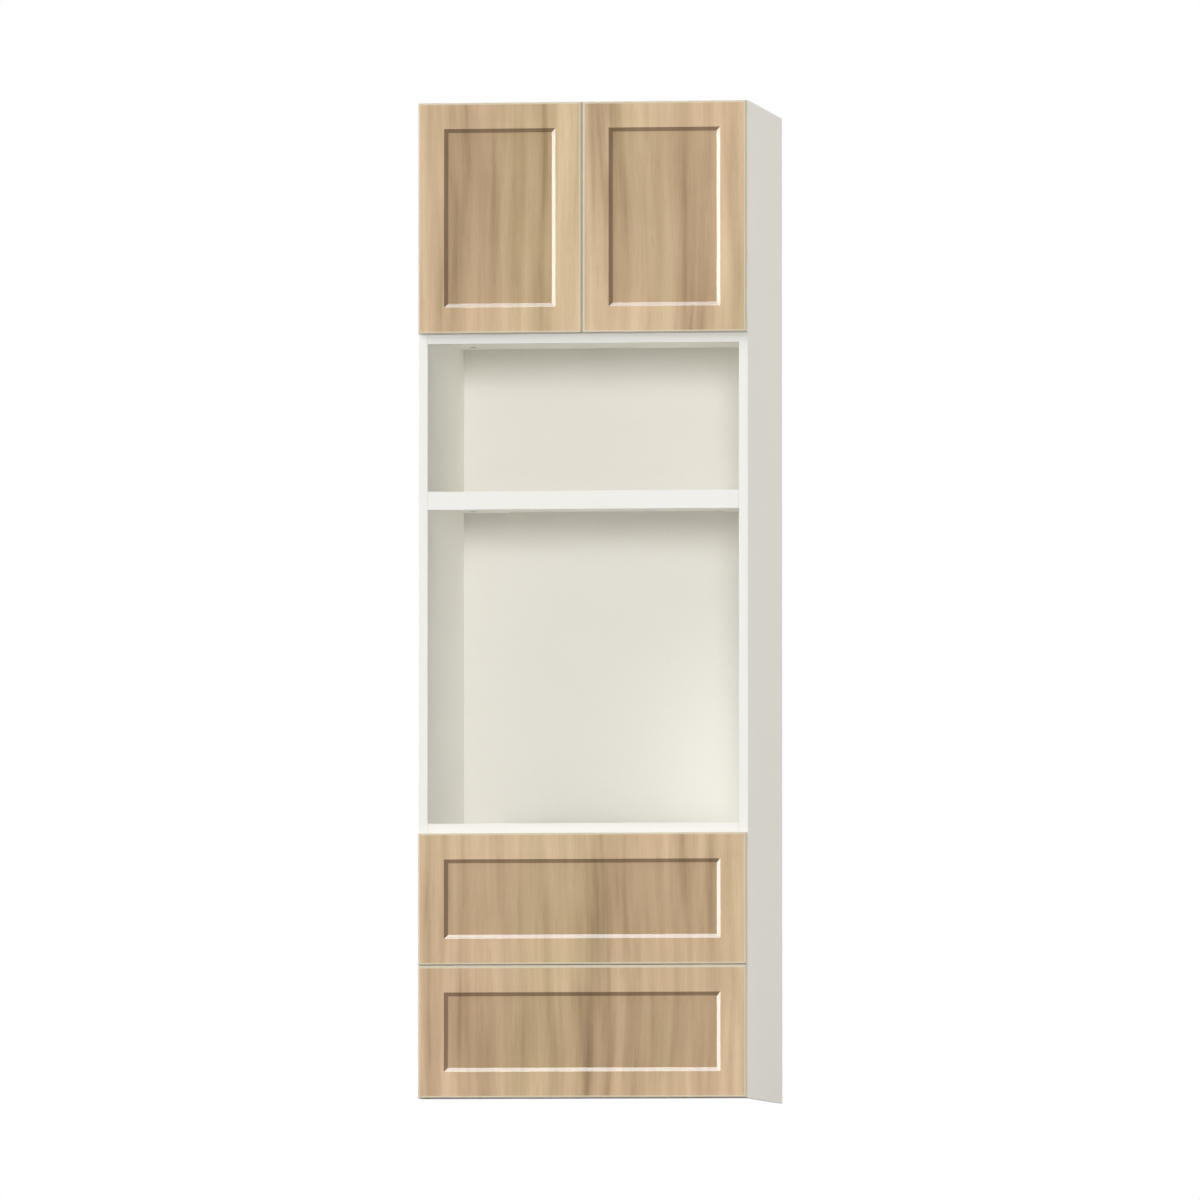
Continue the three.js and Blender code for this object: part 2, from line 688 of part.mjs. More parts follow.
// ---- Drawers ---------------------------------------------------------------------------

const BOX_OUTER = INSIDE - GAP - RUNNER_DEPTH - GAP;
const BOX_INNER = BOX_OUTER - BOX_BOARD;
const BOX_FRONT = FRONT_REAR + GAP;
const BOX_REAR = BOX_FRONT + BOX_LENGTH;

// The slot that the drawer bottom sits in, a little larger all round.
function bottomRoom(base) {
  const reach = BOX_INNER + BOX_GROOVE;
  const z = base + BOX_BOTTOM_UP;
  return block([-reach, reach], [BOX_FRONT - 1, BOX_REAR + 1], [z - GAP, z + BOX_BOTTOM + GAP]);
}

function drawerSide(base) {
  const side = block([-BOX_OUTER, -BOX_INNER], [BOX_FRONT, BOX_REAR], [base, base + BOX_HEIGHT]);
  return cut(side, bottomRoom(base));
}

function addDrawer(name, bayBase, bayHeight) {
  const drawer = group(`${name}_drawer`);
  const base = bayBase + BOX_LIFT;
  const runnerHeight = base + RUNNER_UP;
  const rim = base + BOX_BOTTOM_UP;
  const faceX = [-HALF + REVEAL, HALF - REVEAL];
  const faceZ = [bayBase + REVEAL, bayBase + bayHeight - REVEAL];
  piece(`${name}_drawer_front`, standingFront(faceX, faceZ), WOOD_FOIL, drawer);

  const bottomReach = BOX_INNER + BOX_GROOVE - GAP;
  const bottom = block([-bottomReach, bottomReach], [BOX_FRONT, BOX_REAR], [rim, rim + BOX_BOTTOM]);
  piece(`${name}_drawer_bottom`, bottom, BACKING, drawer);
  const back = block(
    [-BOX_INNER + GAP, BOX_INNER - GAP],
    [BOX_REAR - BOX_BOARD, BOX_REAR],
    [rim + BOX_BOTTOM + GAP, base + BOX_HEIGHT],
  );
  piece(`${name}_drawer_back`, back, BOX_MELAMINE, drawer);

  for (const side of ["left", "right"]) {
    const handed = (geometry) => (side === "left" ? geometry : mirrored(geometry));
    const add = (part, geometry, look) =>
      piece(`${name}_${part}_${side}`, handed(geometry), look, drawer);
    const member = (section) => runnerMember(section, RUNNER_LENGTH, runnerHeight);
    const bored = (section) => cut(member(section), ...screwBores(runnerHeight));
    add("drawer_side", drawerSide(base), BOX_MELAMINE);
    add("runner_cabinet", bored(cabinetSection()), ZINC_STEEL);
    add("runner_middle", member(middleSection()), ZINC_STEEL);
    add("runner_drawer", bored(drawerSection()), ZINC_STEEL);
  }
}

addCarcass();
addDoors();
addDrawer("lower", 0, LOWER_DRAWER_BAY);
addDrawer("upper", UPPER_DRAWER_BASE, UPPER_DRAWER_BAY);

export default unit;
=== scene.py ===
# %% [markdown]
# # A tall oven housing unit
# A kitchen unit with two routed doors at the top, two open niches for appliances and two wide
# drawers at the bottom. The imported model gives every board, hinge and runner at its true size.
# Here each piece gets its finish, the routed fronts and boards get their fine shape, and the
# small fasteners are added. Everything is in metres, +Z is up and the fronts face -Y.

import json
import math

import bmesh
import bpy
from mathutils import Matrix, Vector


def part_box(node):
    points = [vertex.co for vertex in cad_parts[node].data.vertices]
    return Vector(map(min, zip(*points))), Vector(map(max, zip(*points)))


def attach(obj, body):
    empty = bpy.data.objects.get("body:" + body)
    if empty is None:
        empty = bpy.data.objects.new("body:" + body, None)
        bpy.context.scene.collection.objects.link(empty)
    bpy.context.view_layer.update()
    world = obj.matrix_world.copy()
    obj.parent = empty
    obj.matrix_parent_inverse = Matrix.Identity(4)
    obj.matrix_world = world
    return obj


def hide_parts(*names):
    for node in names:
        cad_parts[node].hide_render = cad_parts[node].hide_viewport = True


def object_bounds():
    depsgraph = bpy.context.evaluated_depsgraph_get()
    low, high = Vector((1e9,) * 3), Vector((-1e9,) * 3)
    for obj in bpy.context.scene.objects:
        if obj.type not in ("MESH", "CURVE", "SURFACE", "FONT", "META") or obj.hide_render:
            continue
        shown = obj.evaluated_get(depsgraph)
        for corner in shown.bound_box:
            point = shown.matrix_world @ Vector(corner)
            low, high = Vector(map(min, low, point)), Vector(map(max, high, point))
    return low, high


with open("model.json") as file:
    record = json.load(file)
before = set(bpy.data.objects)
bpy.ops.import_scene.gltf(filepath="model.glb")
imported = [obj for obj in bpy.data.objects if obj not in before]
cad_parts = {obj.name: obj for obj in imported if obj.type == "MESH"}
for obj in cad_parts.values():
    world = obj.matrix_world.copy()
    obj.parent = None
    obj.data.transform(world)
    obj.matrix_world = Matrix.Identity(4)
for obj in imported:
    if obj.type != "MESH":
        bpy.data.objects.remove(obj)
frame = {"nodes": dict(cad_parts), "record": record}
cad_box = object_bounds()
nodes = frame["nodes"]
bodies = frame["record"]["behaviour"]["bodies"]
body_with = {node: body for body, members in bodies.items() for node in members}
scene = bpy.context.scene
print("box", [tuple(round(v, 4) for v in corner) for corner in cad_box])

# %% [markdown]
# ## The camera
# The photograph was taken from far away with a long lens, so that lines hardly converge. The
# camera stands slightly to the right and a little lower than the unit's foot. The distance, lens
# and target were found by fitting six corners of the unit to the picture.

# %% Camera at the photograph's viewpoint
CAMERA_TARGET = Vector((-0.0018, 0, 1.1553))
CAMERA_DISTANCE = 45.449
CAMERA_AZIMUTH = math.radians(7.877)
CAMERA_ELEVATION = math.radians(-2.652)
CAMERA_LENS = 591.4

camera = bpy.data.objects.new("camera", bpy.data.cameras.new("camera"))
scene.collection.objects.link(camera)
scene.camera = camera
camera.data.lens = CAMERA_LENS
camera.data.clip_end = 4 * CAMERA_DISTANCE
towards_camera = Vector((
    math.sin(CAMERA_AZIMUTH) * math.cos(CAMERA_ELEVATION),
    -math.cos(CAMERA_AZIMUTH) * math.cos(CAMERA_ELEVATION),
    math.sin(CAMERA_ELEVATION),
))
camera.location = CAMERA_TARGET + CAMERA_DISTANCE * towards_camera
camera.rotation_mode = "QUATERNION"
camera.rotation_quaternion = (-towards_camera).to_track_quat("-Z", "Y")
print("camera at", tuple(round(v, 2) for v in camera.location))

# %% [markdown]
# ## Node trees in short calls
# Materials and Geometry Nodes are both trees of nodes. Two small helpers keep the rest short:
# one puts a value or a link into a socket, and one adds a node and fills its sockets.

# %% Helpers for node trees
def feed(tree, socket, value):
    """Links another node's output to a socket, or sets the socket's own value."""
    if isinstance(value, bpy.types.NodeSocket):
        tree.links.new(value, socket)
    else:
        socket.default_value = value


def add(tree, kind, inputs=None, **settings):
    """A new node with its settings, and its sockets filled by name or number."""
    node = tree.nodes.new(kind)
    for key, value in settings.items():
        setattr(node, key, value)
    for key, value in (inputs or {}).items():
        feed(tree, node.inputs[key], value)
    return node


def calculate(tree, operation, *values, clamp=False):
    """The result of one Math node."""
    sockets = dict(enumerate(values))
    return add(tree, "ShaderNodeMath", sockets, operation=operation, use_clamp=clamp).outputs[0]


def vector_result(tree, operation, *values):
    """The result of one Vector Math node."""
    sockets = dict(enumerate(values))
    return add(tree, "ShaderNodeVectorMath", sockets, operation=operation).outputs[0]


# %% [markdown]
# ## Light, white surroundings and floor
# A wide studio key from the upper left leaves the left and top slopes of each routed recess dark
# and lights the right and bottom slopes. A soft lamp from the front reaches into the niches, and
# one behind on the right lifts the side panel. Both have a polarising sheet, so they make no
# gloss and no metal part mirrors them. Two thin strip lamps stand where the light slopes mirror
# them: they are too thin to light anything, so only the gloss sees them. Sun lamps are used,
# because they light the whole height evenly. The world is white where the camera, a reflection
# or glass looks at it, and dimmer as a source of light.

# %% World
WORLD_LIGHT = 0.16


def seen_directly(tree):
    """1 for rays from the camera, in a reflection or through glass, and otherwise 0."""
    rays = add(tree, "ShaderNodeLightPath").outputs
    either = calculate(tree, "MAXIMUM", rays["Is Camera Ray"], rays["Is Glossy Ray"])
    return calculate(tree, "MAXIMUM", either, rays["Is Transmission Ray"])


world = bpy.data.worlds.new("white_surroundings")
scene.world = world
world.use_nodes = True
sky = world.node_tree
background = sky.nodes["Background"]
background.inputs["Color"].default_value = (1, 1, 1, 1)
lift = calculate(sky, "MULTIPLY", seen_directly(sky), 1 - WORLD_LIGHT)
feed(sky, background.inputs["Strength"], calculate(sky, "ADD", lift, WORLD_LIGHT))
print("world", WORLD_LIGHT)

# %% Lamps
LAMPS = {
    # name: (direction towards the lamp, strength, angle in degrees, colour)
    "key_lamp": ((-0.74, -0.46, 0.5), 2.2, 46, (1, 1, 1)),
    "front_lamp": ((0.12, -0.985, 0.05), 1.47, 12, (1, 1, 1)),
    "left_strip_lamp": ((-0.996, -0.085, 0.046), 2.0, 6, (1, 1, 1)),
    "top_strip_lamp": ((-0.136, -0.172, 0.976), 1.75, 6, (1, 1, 1)),
    "side_lamp": ((0.74, 0.66, 0.1), 2.72, 40, (1, 0.965, 0.9)),
}
POLARISED_LAMPS = {"front_lamp", "side_lamp"}
GLOSS_ONLY_LAMPS = {"left_strip_lamp", "top_strip_lamp"}
LIGHT_BOUNCES = 12

for name, (direction, strength, angle, tint) in LAMPS.items():
    lamp = bpy.data.lights.new(name, "SUN")
    lamp.color = tint
    lamp.energy = strength
    lamp.angle = math.radians(angle)
    holder = bpy.data.objects.new(name, lamp)
    holder.visible_glossy = name not in POLARISED_LAMPS
    holder.visible_diffuse = name not in GLOSS_ONLY_LAMPS
    holder.rotation_mode = "QUATERNION"
    holder.rotation_quaternion = Vector(direction).to_track_quat("Z", "Y")
    scene.collection.objects.link(holder)
scene.view_settings.view_transform = "Standard"
scene.cycles.max_bounces = LIGHT_BOUNCES
scene.cycles.diffuse_bounces = LIGHT_BOUNCES
print("lamps", ", ".join(LAMPS))

# %% [markdown]
# ### Floor
# The floor is a wide pale sheet that keeps the unit's shadow. It glows a little for the camera
# only, so it looks white and puts no light on the unit. A camera below the floor looks through
# it, and sees a white card under the unit instead of its dark underside.

# %% Helpers for the floor
FLOOR_GREY = 0.4
FLOOR_LIFT = 0.75


def stage_sheet(name, corners, material):
    """A flat sheet of the studio, which isn't part of the unit."""
    mesh = bpy.data.meshes.new(name)
    mesh.from_pydata(corners, [], [range(len(corners))])
    mesh.materials.append(material)
    sheet = bpy.data.objects.new(name, mesh)
    scene.collection.objects.link(sheet)
    return sheet


def stage_material(name, see_through_below):
    """Pale grey for light and shadow, lifted to white for the camera."""
    material = bpy.data.materials.new(name)
    material.use_nodes = True
    tree = material.node_tree
    tree.nodes.clear()
    grey = add(tree, "ShaderNodeBsdfDiffuse", {"Color": (FLOOR_GREY,) * 3 + (1,)}).outputs[0]
    strength = calculate(tree, "MULTIPLY", seen_directly(tree), FLOOR_LIFT)
    glow = add(tree, "ShaderNodeEmission", {"Strength": strength}).outputs[0]
    above = add(tree, "ShaderNodeAddShader", {0: grey, 1: glow}).outputs[0]
    below = "ShaderNodeBsdfTransparent" if see_through_below else "ShaderNodeEmission"
    back = add(tree, "ShaderNodeNewGeometry").outputs["Backfacing"]
    both = add(tree, "ShaderNodeMixShader", {0: back, 1: above, 2: add(tree, below).outputs[0]})
    add(tree, "ShaderNodeOutputMaterial", {"Surface": both.outputs[0]})
    return material


def rectangle(low, high, height):
    """The four corners of a level rectangle."""
    return [(low.x, low.y, height), (high.x, low.y, height),
            (high.x, high.y, height), (low.x, high.y, height)]


# %% Floor, seen only from above, and a white card under the unit
FLOOR_RADIUS = 200
FLOOR_DROP = 0.002
CARD_DROP = 0.001

reach = Vector((FLOOR_RADIUS, FLOOR_RADIUS))
stage_sheet("floor", rectangle(-reach, reach, -FLOOR_DROP), stage_material("floor_paper", True))
stage_sheet("floor_card", rectangle(*cad_box, -CARD_DROP), stage_material("floor_card", False))
print("floor", 2 * FLOOR_RADIUS, "m square")

# %% [markdown]
# ## Finishes
# Every finish is a Principled shader fed by noise. Noise that is squeezed across and stretched
# upwards looks like grain. All patterns read Object coordinates: each piece's object stays at
# the origin, so a pattern keeps its real size, and it stays on a door when the door swings.

# %% Helpers for colours and finishes
SATIN_GLOSS = 0.35
WHITE = (1, 1, 1, 1)


def colour(red, green, blue):
    """A colour as written in a picture, 0 to 255, turned into the linear values of a shader."""
    shares = [value / 255 for value in (red, green, blue)]
    return (*[s / 12.92 if s < 0.04045 else ((s + 0.055) / 1.055) ** 2.4 for s in shares], 1)


def darkened(shade, share):
    """A colour with each of its values times a share."""
    return (*[share * value for value in shade[:3]], 1)


def new_finish(name, roughness, metallic=0.0):
    """An empty finish: its material, tree, shader and the point on the piece.

    Nodes vary the roughness later, and the plain value is for a viewer that reads no nodes.
    """
    material = bpy.data.materials.new(name)
    material.use_nodes = True
    tree = material.node_tree
    shader = tree.nodes["Principled BSDF"]
    shader.inputs["Roughness"].default_value = roughness
    shader.inputs["Metallic"].default_value = metallic
    place = add(tree, "ShaderNodeTexCoord").outputs["Object"]
    return material, tree, shader, place


# %% Helpers for patterns and bump
def speckle(tree, place, per_metre, seed=0.0, detail=2.0):
    """Noise with so many spots per metre along x, y and z."""
    squeezed = vector_result(tree, "MULTIPLY", place, per_metre)
    node = add(tree, "ShaderNodeTexNoise", {"Vector": squeezed, "W": seed, "Scale": 1.0,
                                            "Detail": detail}, noise_dimensions="4D")
    return node.outputs["Fac"]


def graded(tree, factor, stops):
    """A colour ramp: stops are (position, colour)."""
    ramp = add(tree, "ShaderNodeValToRGB", {0: factor})
    elements = ramp.color_ramp.elements
    while len(elements) < len(stops):
        elements.new(0.5)
    for element, (position, shade) in zip(elements, stops):
        element.position = position
        element.color = shade
    return ramp.outputs[0]


def mixed(tree, factor, first, second, mode="MIX"):
    """Two colours mixed by a factor."""
    node = add(tree, "ShaderNodeMix", {0: factor, 6: first, 7: second}, data_type="RGBA",
               blend_type=mode)
    return node.outputs[2]


def spread(tree, factor, low, high):
    """A factor from 0 to 1 moved to the range from low to high."""
    return add(tree, "ShaderNodeMapRange", {0: factor, 3: low, 4: high}).outputs[0]


def raise_surface(tree, shader, height, depth, strength=1.0):
    """Bump: the surface rises by a height from 0 to 1, times a depth in metres."""
    bump = add(tree, "ShaderNodeBump", {"Height": height, "Distance": depth, "Strength": strength})
    feed(tree, shader.inputs["Normal"], bump.outputs[0])


# %% [markdown]
# ### Melamine-faced board
# The carcass is chipboard with an off-white melamine face, pressed with a fine pearl texture.
# Its cut edges are covered by a thin band, which shows as a hair-fine joint line. A picture
# would repeat on so large a board, so three noises do it all: patches and dust shift the tone a
# little, and the finest one is bump. All banded edges are at the unit's front, so the depth
# alone says where the band and its joint are.

# %% Sizes and tones of the board
CARCASS_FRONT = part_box("left_side_panel")[0].y
BAND_THICKNESS = 0.001
JOINT_HALF_WIDTH = 0.00015
EDGE_BAND = colour(248, 247, 242)
JOINT_SHADE = colour(150, 145, 134)
JOINT_STRENGTH = 0.5
# Painted shade: the side panels' outer faces are greyed as if turned away from the light.
OUTER_FACE_PAINTED_SHADE = (0.9, 0.89, 0.87, 1)
BOARD_MIDDLE = sum(corner.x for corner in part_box("right_side_panel")) / 2
BOARD_NOISES = {
    # noise: (spots per metre along x, y and z, seed)
    "patches": ((3, 3, 3), 1.0),
    "dust": ((90, 90, 90), 2.0),
    "pearl": ((1800, 1800, 1800), 3.0),
}
PATCH_SHARE = 0.5
DUST_SHARE = 0.3
TONE_MIDDLE = 0.35
DARKEST_SHARE = 0.97
BOARD_ROUGHNESS = (0.46, 0.58)
PEARL_DEPTH = 0.00002
print("the board's face starts at", round(CARCASS_FRONT, 4))


# %% Melamine board
def melamine(name, shade, banded):
    """Off-white board. A banded one has an edge band in front, and painted shade greys its outer
    side faces.
    """
    material, tree, shader, place = new_finish(name, roughness=0.5)
    shader.inputs["Specular IOR Level"].default_value = SATIN_GLOSS
    patches, dust, pearl = [speckle(tree, place, *noise) for noise in BOARD_NOISES.values()]
    broad = spread(tree, patches, -PATCH_SHARE, PATCH_SHARE)
    tone = calculate(tree, "ADD", broad, spread(tree, dust, -DUST_SHARE, DUST_SHARE))
    tone = calculate(tree, "ADD", tone, TONE_MIDDLE, clamp=True)
    base = mixed(tree, tone, shade, darkened(shade, DARKEST_SHARE))
    if banded:
        across, depth, _ = add(tree, "ShaderNodeSeparateXYZ", {0: place}).outputs
        # Painted shade on the outer side faces, which lie further out than the side panels' middle.
        painted_shade_side = calculate(tree, "GREATER_THAN", calculate(tree, "ABSOLUTE", across), BOARD_MIDDLE)
        base = mixed(tree, painted_shade_side, base, OUTER_FACE_PAINTED_SHADE, "MULTIPLY")
        band = calculate(tree, "LESS_THAN", depth, CARCASS_FRONT + BAND_THICKNESS)
        base = mixed(tree, band, base, EDGE_BAND)
        joint = calculate(tree, "COMPARE", depth, CARCASS_FRONT + BAND_THICKNESS, JOINT_HALF_WIDTH)
        joint = calculate(tree, "MULTIPLY", joint, JOINT_STRENGTH)
        base = mixed(tree, joint, base, JOINT_SHADE)
    feed(tree, shader.inputs["Base Color"], base)
    feed(tree, shader.inputs["Roughness"], spread(tree, dust, *BOARD_ROUGHNESS))
    raise_surface(tree, shader, pearl, PEARL_DEPTH)
    return material


carcass_board = melamine("carcass_board", colour(251, 250, 246), True)
# The back boards are a little greyer than the carcass: partly a greyer board, partly painted shade
# on the backs of the deep niches.
back_board = melamine("back_board", colour(241, 239, 234), False)
box_board = melamine("box_board", colour(236, 234, 228), False)
door_back = melamine("door_back", colour(240, 239, 235), False)
print("melamine finishes:", carcass_board.name, back_board.name, box_board.name, door_back.name)

# %% [markdown]
# ### Wood foil
# The fronts are routed from one board and wrapped in a printed oak foil. The grain runs up
# through frame and recess without joints. Noises are layered, from broad bands over streaks to
# fine fibre and pores, with a slow sideways sway so that no line is ruled. Light and shade are
# painted into the foil: round the face runs a hair-thin pale rim, a painted highlight of the eased
# edge, and the edge itself is greyer, a painted shade of the gap. The slopes of the recess are
# darker with painted shade, and its floor is a little darker with painted shade too.

# %% Tones of the wood foil
FRONT_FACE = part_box("left_door")[0].y
RECESS_DEPTH = 0.008
# Painted light on the fronts: the pale rim is a painted highlight, and the greyer edge is painted
# shade.
RIM_SHARE = 0.62
RIM_PAINTED_HIGHLIGHT = colour(232, 222, 198)
EDGE_SHARE = 0.9
EDGE_PAINTED_SHADE = colour(208, 200, 180)
# Painted shade on the slopes and on the floor of the recess, laid on by depth.
SLOPE_PAINTED_SHADE = (0.52, 0.48, 0.44, 1)
RECESS_FLOOR_PAINTED_SHADE = (0.81, 0.79, 0.755, 1)
RECESS_PAINTED_SHADES = [(0.02, WHITE), (0.06, SLOPE_PAINTED_SHADE), (0.94, SLOPE_PAINTED_SHADE), (0.98, RECESS_FLOOR_PAINTED_SHADE)]
FOIL_TONES = [
    (0.28, colour(230, 204, 168)), (0.46, colour(215, 188, 152)),
    (0.60, colour(199, 172, 137)), (0.78, colour(158, 134, 101)),
]
FOIL_HUES = [(0.34, (0.98, 1.0, 0.955, 1)), (0.5, WHITE), (0.66, (1.0, 0.97, 0.99, 1))]
PORE_SHADE = colour(140, 112, 80)
print(len(FOIL_TONES), "tones and", len(FOIL_HUES), "hues of foil")

# %% Noises of the wood foil
SWAY = (2.2, 1.0, 1.6)
SWAY_REACH = 0.03
FOIL_NOISES = {
    # noise: (spots per metre along x, y and z, detail)
    "bands": ((7, 1, 0.9), 1.0),
    "streaks": ((26, 3, 1.5), 3.0),
    "clouds": ((9, 2, 5), 2.0),
    "fibre": ((420, 60, 6), 2.0),
    "pores": ((1500, 200, 26), 0.0),
    "hue": ((6, 1, 1.2), 2.0),
}
TONE_SHARES = {"bands": 0.24, "clouds": 0.1, "fibre": 0.06}
PORE_LIMIT = 0.66
PORE_STRENGTH = 0.18
FIBRE_DEPTH = 0.00003
FIBRE_STRENGTH = 0.6
FOIL_ROUGHNESS = (0.26, 0.34)
print("noises of foil:", ", ".join(FOIL_NOISES))


# %% Wood foil
def wood_foil(name, seed, shift):
    """Oak foil. The seed picks the pattern, and the shift slides it sideways by metres."""
    material, tree, shader, place = new_finish(name, roughness=0.3)
    shader.inputs["Specular IOR Level"].default_value = SATIN_GLOSS
    sway = spread(tree, speckle(tree, place, SWAY, seed, detail=1.0), -SWAY_REACH, SWAY_REACH)
    aside = add(tree, "ShaderNodeCombineXYZ", {0: sway}).outputs[0]
    along = vector_result(tree, "ADD", vector_result(tree, "ADD", place, aside), (-shift, 0, 0))
    noises = {
        title: speckle(tree, along, per_metre, seed + number, detail)
        for number, (title, (per_metre, detail)) in enumerate(FOIL_NOISES.items(), 1)}

    tone = noises["streaks"]
    for title, share in TONE_SHARES.items():
        tone = calculate(tree, "ADD", spread(tree, noises[title], -share, share), tone)
    base = graded(tree, tone, FOIL_TONES)
    base = mixed(tree, 1.0, base, graded(tree, noises["hue"], FOIL_HUES), "MULTIPLY")
    pitted = calculate(tree, "GREATER_THAN", noises["pores"], PORE_LIMIT)
    base = mixed(tree, calculate(tree, "MULTIPLY", pitted, PORE_STRENGTH), base, PORE_SHADE)

    # Painted shade: darker on the slopes of the recess, and a little darker on its floor.
    depth = add(tree, "ShaderNodeSeparateXYZ", {0: place}).outputs["Y"]
    sunk = add(tree, "ShaderNodeMapRange", {
        0: depth, 1: FRONT_FACE, 2: FRONT_FACE + RECESS_DEPTH}).outputs[0]
    base = mixed(tree, 1.0, base, graded(tree, sunk, RECESS_PAINTED_SHADES), "MULTIPLY")
    # The easing mark: a painted highlight on the rim ring and painted shade on the edge.
    easing = add(tree, "ShaderNodeAttribute", attribute_name="easing").outputs["Fac"]
    painted_rim_and_edge = graded(tree, easing, [(RIM_SHARE, RIM_PAINTED_HIGHLIGHT), (EDGE_SHARE, EDGE_PAINTED_SHADE)])
    base = mixed(tree, easing, base, painted_rim_and_edge)
    feed(tree, shader.inputs["Base Color"], base)
    feed(tree, shader.inputs["Roughness"], spread(tree, noises["fibre"], *FOIL_ROUGHNESS))
    raise_surface(tree, shader, noises["fibre"], FIBRE_DEPTH, FIBRE_STRENGTH)
    return material


FOILS = {
    # fronts: (seed, shift)
    "left_door": (115.0, 0.04),
    "right_door": (224.0, 0.18),
    "drawers": (342.0, 0.1),
}
foils = {name: wood_foil(f"{name}_foil", *pattern) for name, pattern in FOILS.items()}
print("foils", ", ".join(foils))

# %% [markdown]
# ### Metals and plastics
# The runners are zinc-plated strip with fine rolling lines along their length. The hinges are
# polished nickel plate. Seals, buffers and the runners' release levers are moulded plastic.
# Such marks are far too fine to model, so they are a noise that drives bump and roughness, and
# the rolling lines are a noise stretched along the runners. One function makes each kind.

# %% Plated steel
STAIN_SPOTS = (60, 60, 60)
STAIN_SHARE = 0.86
STAIN_ROUGHNESS = 0.1
ROLLING_ROUGHNESS = 0.08
ROLLING_DEPTH = 0.00001


def plated_steel(name, shade, lines, roughness):
    """Plated steel. The lines are its fine rolling marks per metre along x, y and z."""
    material, tree, shader, place = new_finish(name, roughness, metallic=1.0)
    rolled = speckle(tree, place, lines, seed=5.0)
    stain = speckle(tree, place, STAIN_SPOTS, seed=6.0)
    base = mixed(tree, stain, shade, darkened(shade, STAIN_SHARE))
    feed(tree, shader.inputs["Base Color"], base)
    lined = spread(tree, rolled, -ROLLING_ROUGHNESS, ROLLING_ROUGHNESS)
    added = calculate(tree, "ADD", lined, spread(tree, stain, 0, STAIN_ROUGHNESS))
    feed(tree, shader.inputs["Roughness"], calculate(tree, "ADD", added, roughness))
    raise_surface(tree, shader, rolled, ROLLING_DEPTH)
    return material


# %% Moulded plastic
CLOUD_SPOTS = (150, 150, 150)
CLOUD_SHARE = 0.88
CLOUD_ROUGHNESS = 0.06
MOULD_SPOTS = (2500, 2500, 2500)
MOULD_DEPTH = 0.00002


def moulded_plastic(name, shade, roughness):
    """Plastic with the faint grain of its mould."""
    material, tree, shader, place = new_finish(name, roughness)
    cloud = speckle(tree, place, CLOUD_SPOTS, seed=7.0)
    grain = speckle(tree, place, MOULD_SPOTS, seed=8.0)
    base = mixed(tree, cloud, shade, darkened(shade, CLOUD_SHARE))
    feed(tree, shader.inputs["Base Color"], base)
    varied = spread(tree, cloud, roughness - CLOUD_ROUGHNESS, roughness + CLOUD_ROUGHNESS)
    feed(tree, shader.inputs["Roughness"], varied)
    raise_surface(tree, shader, grain, MOULD_DEPTH)
    return material


# %% Metals and plastics
zinc = plated_steel("zinc_plate", (0.42, 0.43, 0.45, 1), (900, 12, 900), 0.34)
nickel = plated_steel("nickel_plate", (0.60, 0.58, 0.54, 1), (500, 500, 500), 0.2)
seal_plastic = moulded_plastic("seal_plastic", colour(230, 223, 208), 0.45)
buffer_plastic = moulded_plastic("buffer_plastic", colour(205, 207, 205), 0.3)
lever_plastic = moulded_plastic("lever_plastic", colour(44, 44, 46), 0.4)
print("metals and plastics:", zinc.name, nickel.name, seal_plastic.name, buffer_plastic.name,
      lever_plastic.name)

# %% [markdown]
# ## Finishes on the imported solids
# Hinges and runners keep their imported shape, and only need a finish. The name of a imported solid
# says what the real piece is, so a loop can choose by the words in it, without a long list.

# %% Give each solid its finish
def finish_of(name):
    """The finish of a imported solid, by the words in its name."""
    if "runner" in name:
        return zinc
    if "hinge" in name or "link" in name:
        return nickel
    if name in ("drawer_back", "niche_back", "cupboard_back"):
        return back_board
    if name.startswith(("lower_drawer", "upper_drawer")):
        return box_board
    return carcass_board


for name, solid in nodes.items():
    for slot in solid.material_slots:
        slot.material = finish_of(name)
print("finished", len(nodes), "solids")

# %% [markdown]
# ## Routed fronts
# A routed front follows a rule, so a Geometry Nodes tree draws it: a rectangle is pushed up and
# stepped inward again and again. The steps make the thickness, the eased edge, the flat ring of the
# pale rim, the frame, the slope of the cutter and the sunk panel. Each step marks its new faces
# with how much painted light they take, which the foil's finish reads: a painted highlight on the
# rim and painted shade on the edge. The same tree makes doors and drawer fronts, and bores the
# hinge cups' holes into the back of a door.

# %% Helpers for Geometry Nodes
SOCKETS = {"float": "NodeSocketFloat", "count": "NodeSocketInt", "vector": "NodeSocketVector",
           "material": "NodeSocketMaterial", "mesh": "NodeSocketGeometry"}


def new_tree(name, inputs):
    """A Geometry Nodes tree with named inputs. Gives the tree and its inputs' sockets."""
    tree = bpy.data.node_groups.new(name, "GeometryNodeTree")
    for title, kind in inputs.items():
        tree.interface.new_socket(title, in_out="INPUT", socket_type=SOCKETS[kind])
    tree.interface.new_socket("Result", in_out="OUTPUT", socket_type=SOCKETS["mesh"])
    return tree, add(tree, "NodeGroupInput").outputs


def end_tree(tree, shape):
    """The finished shape leaves the tree."""
    add(tree, "NodeGroupOutput", {"Result": shape})


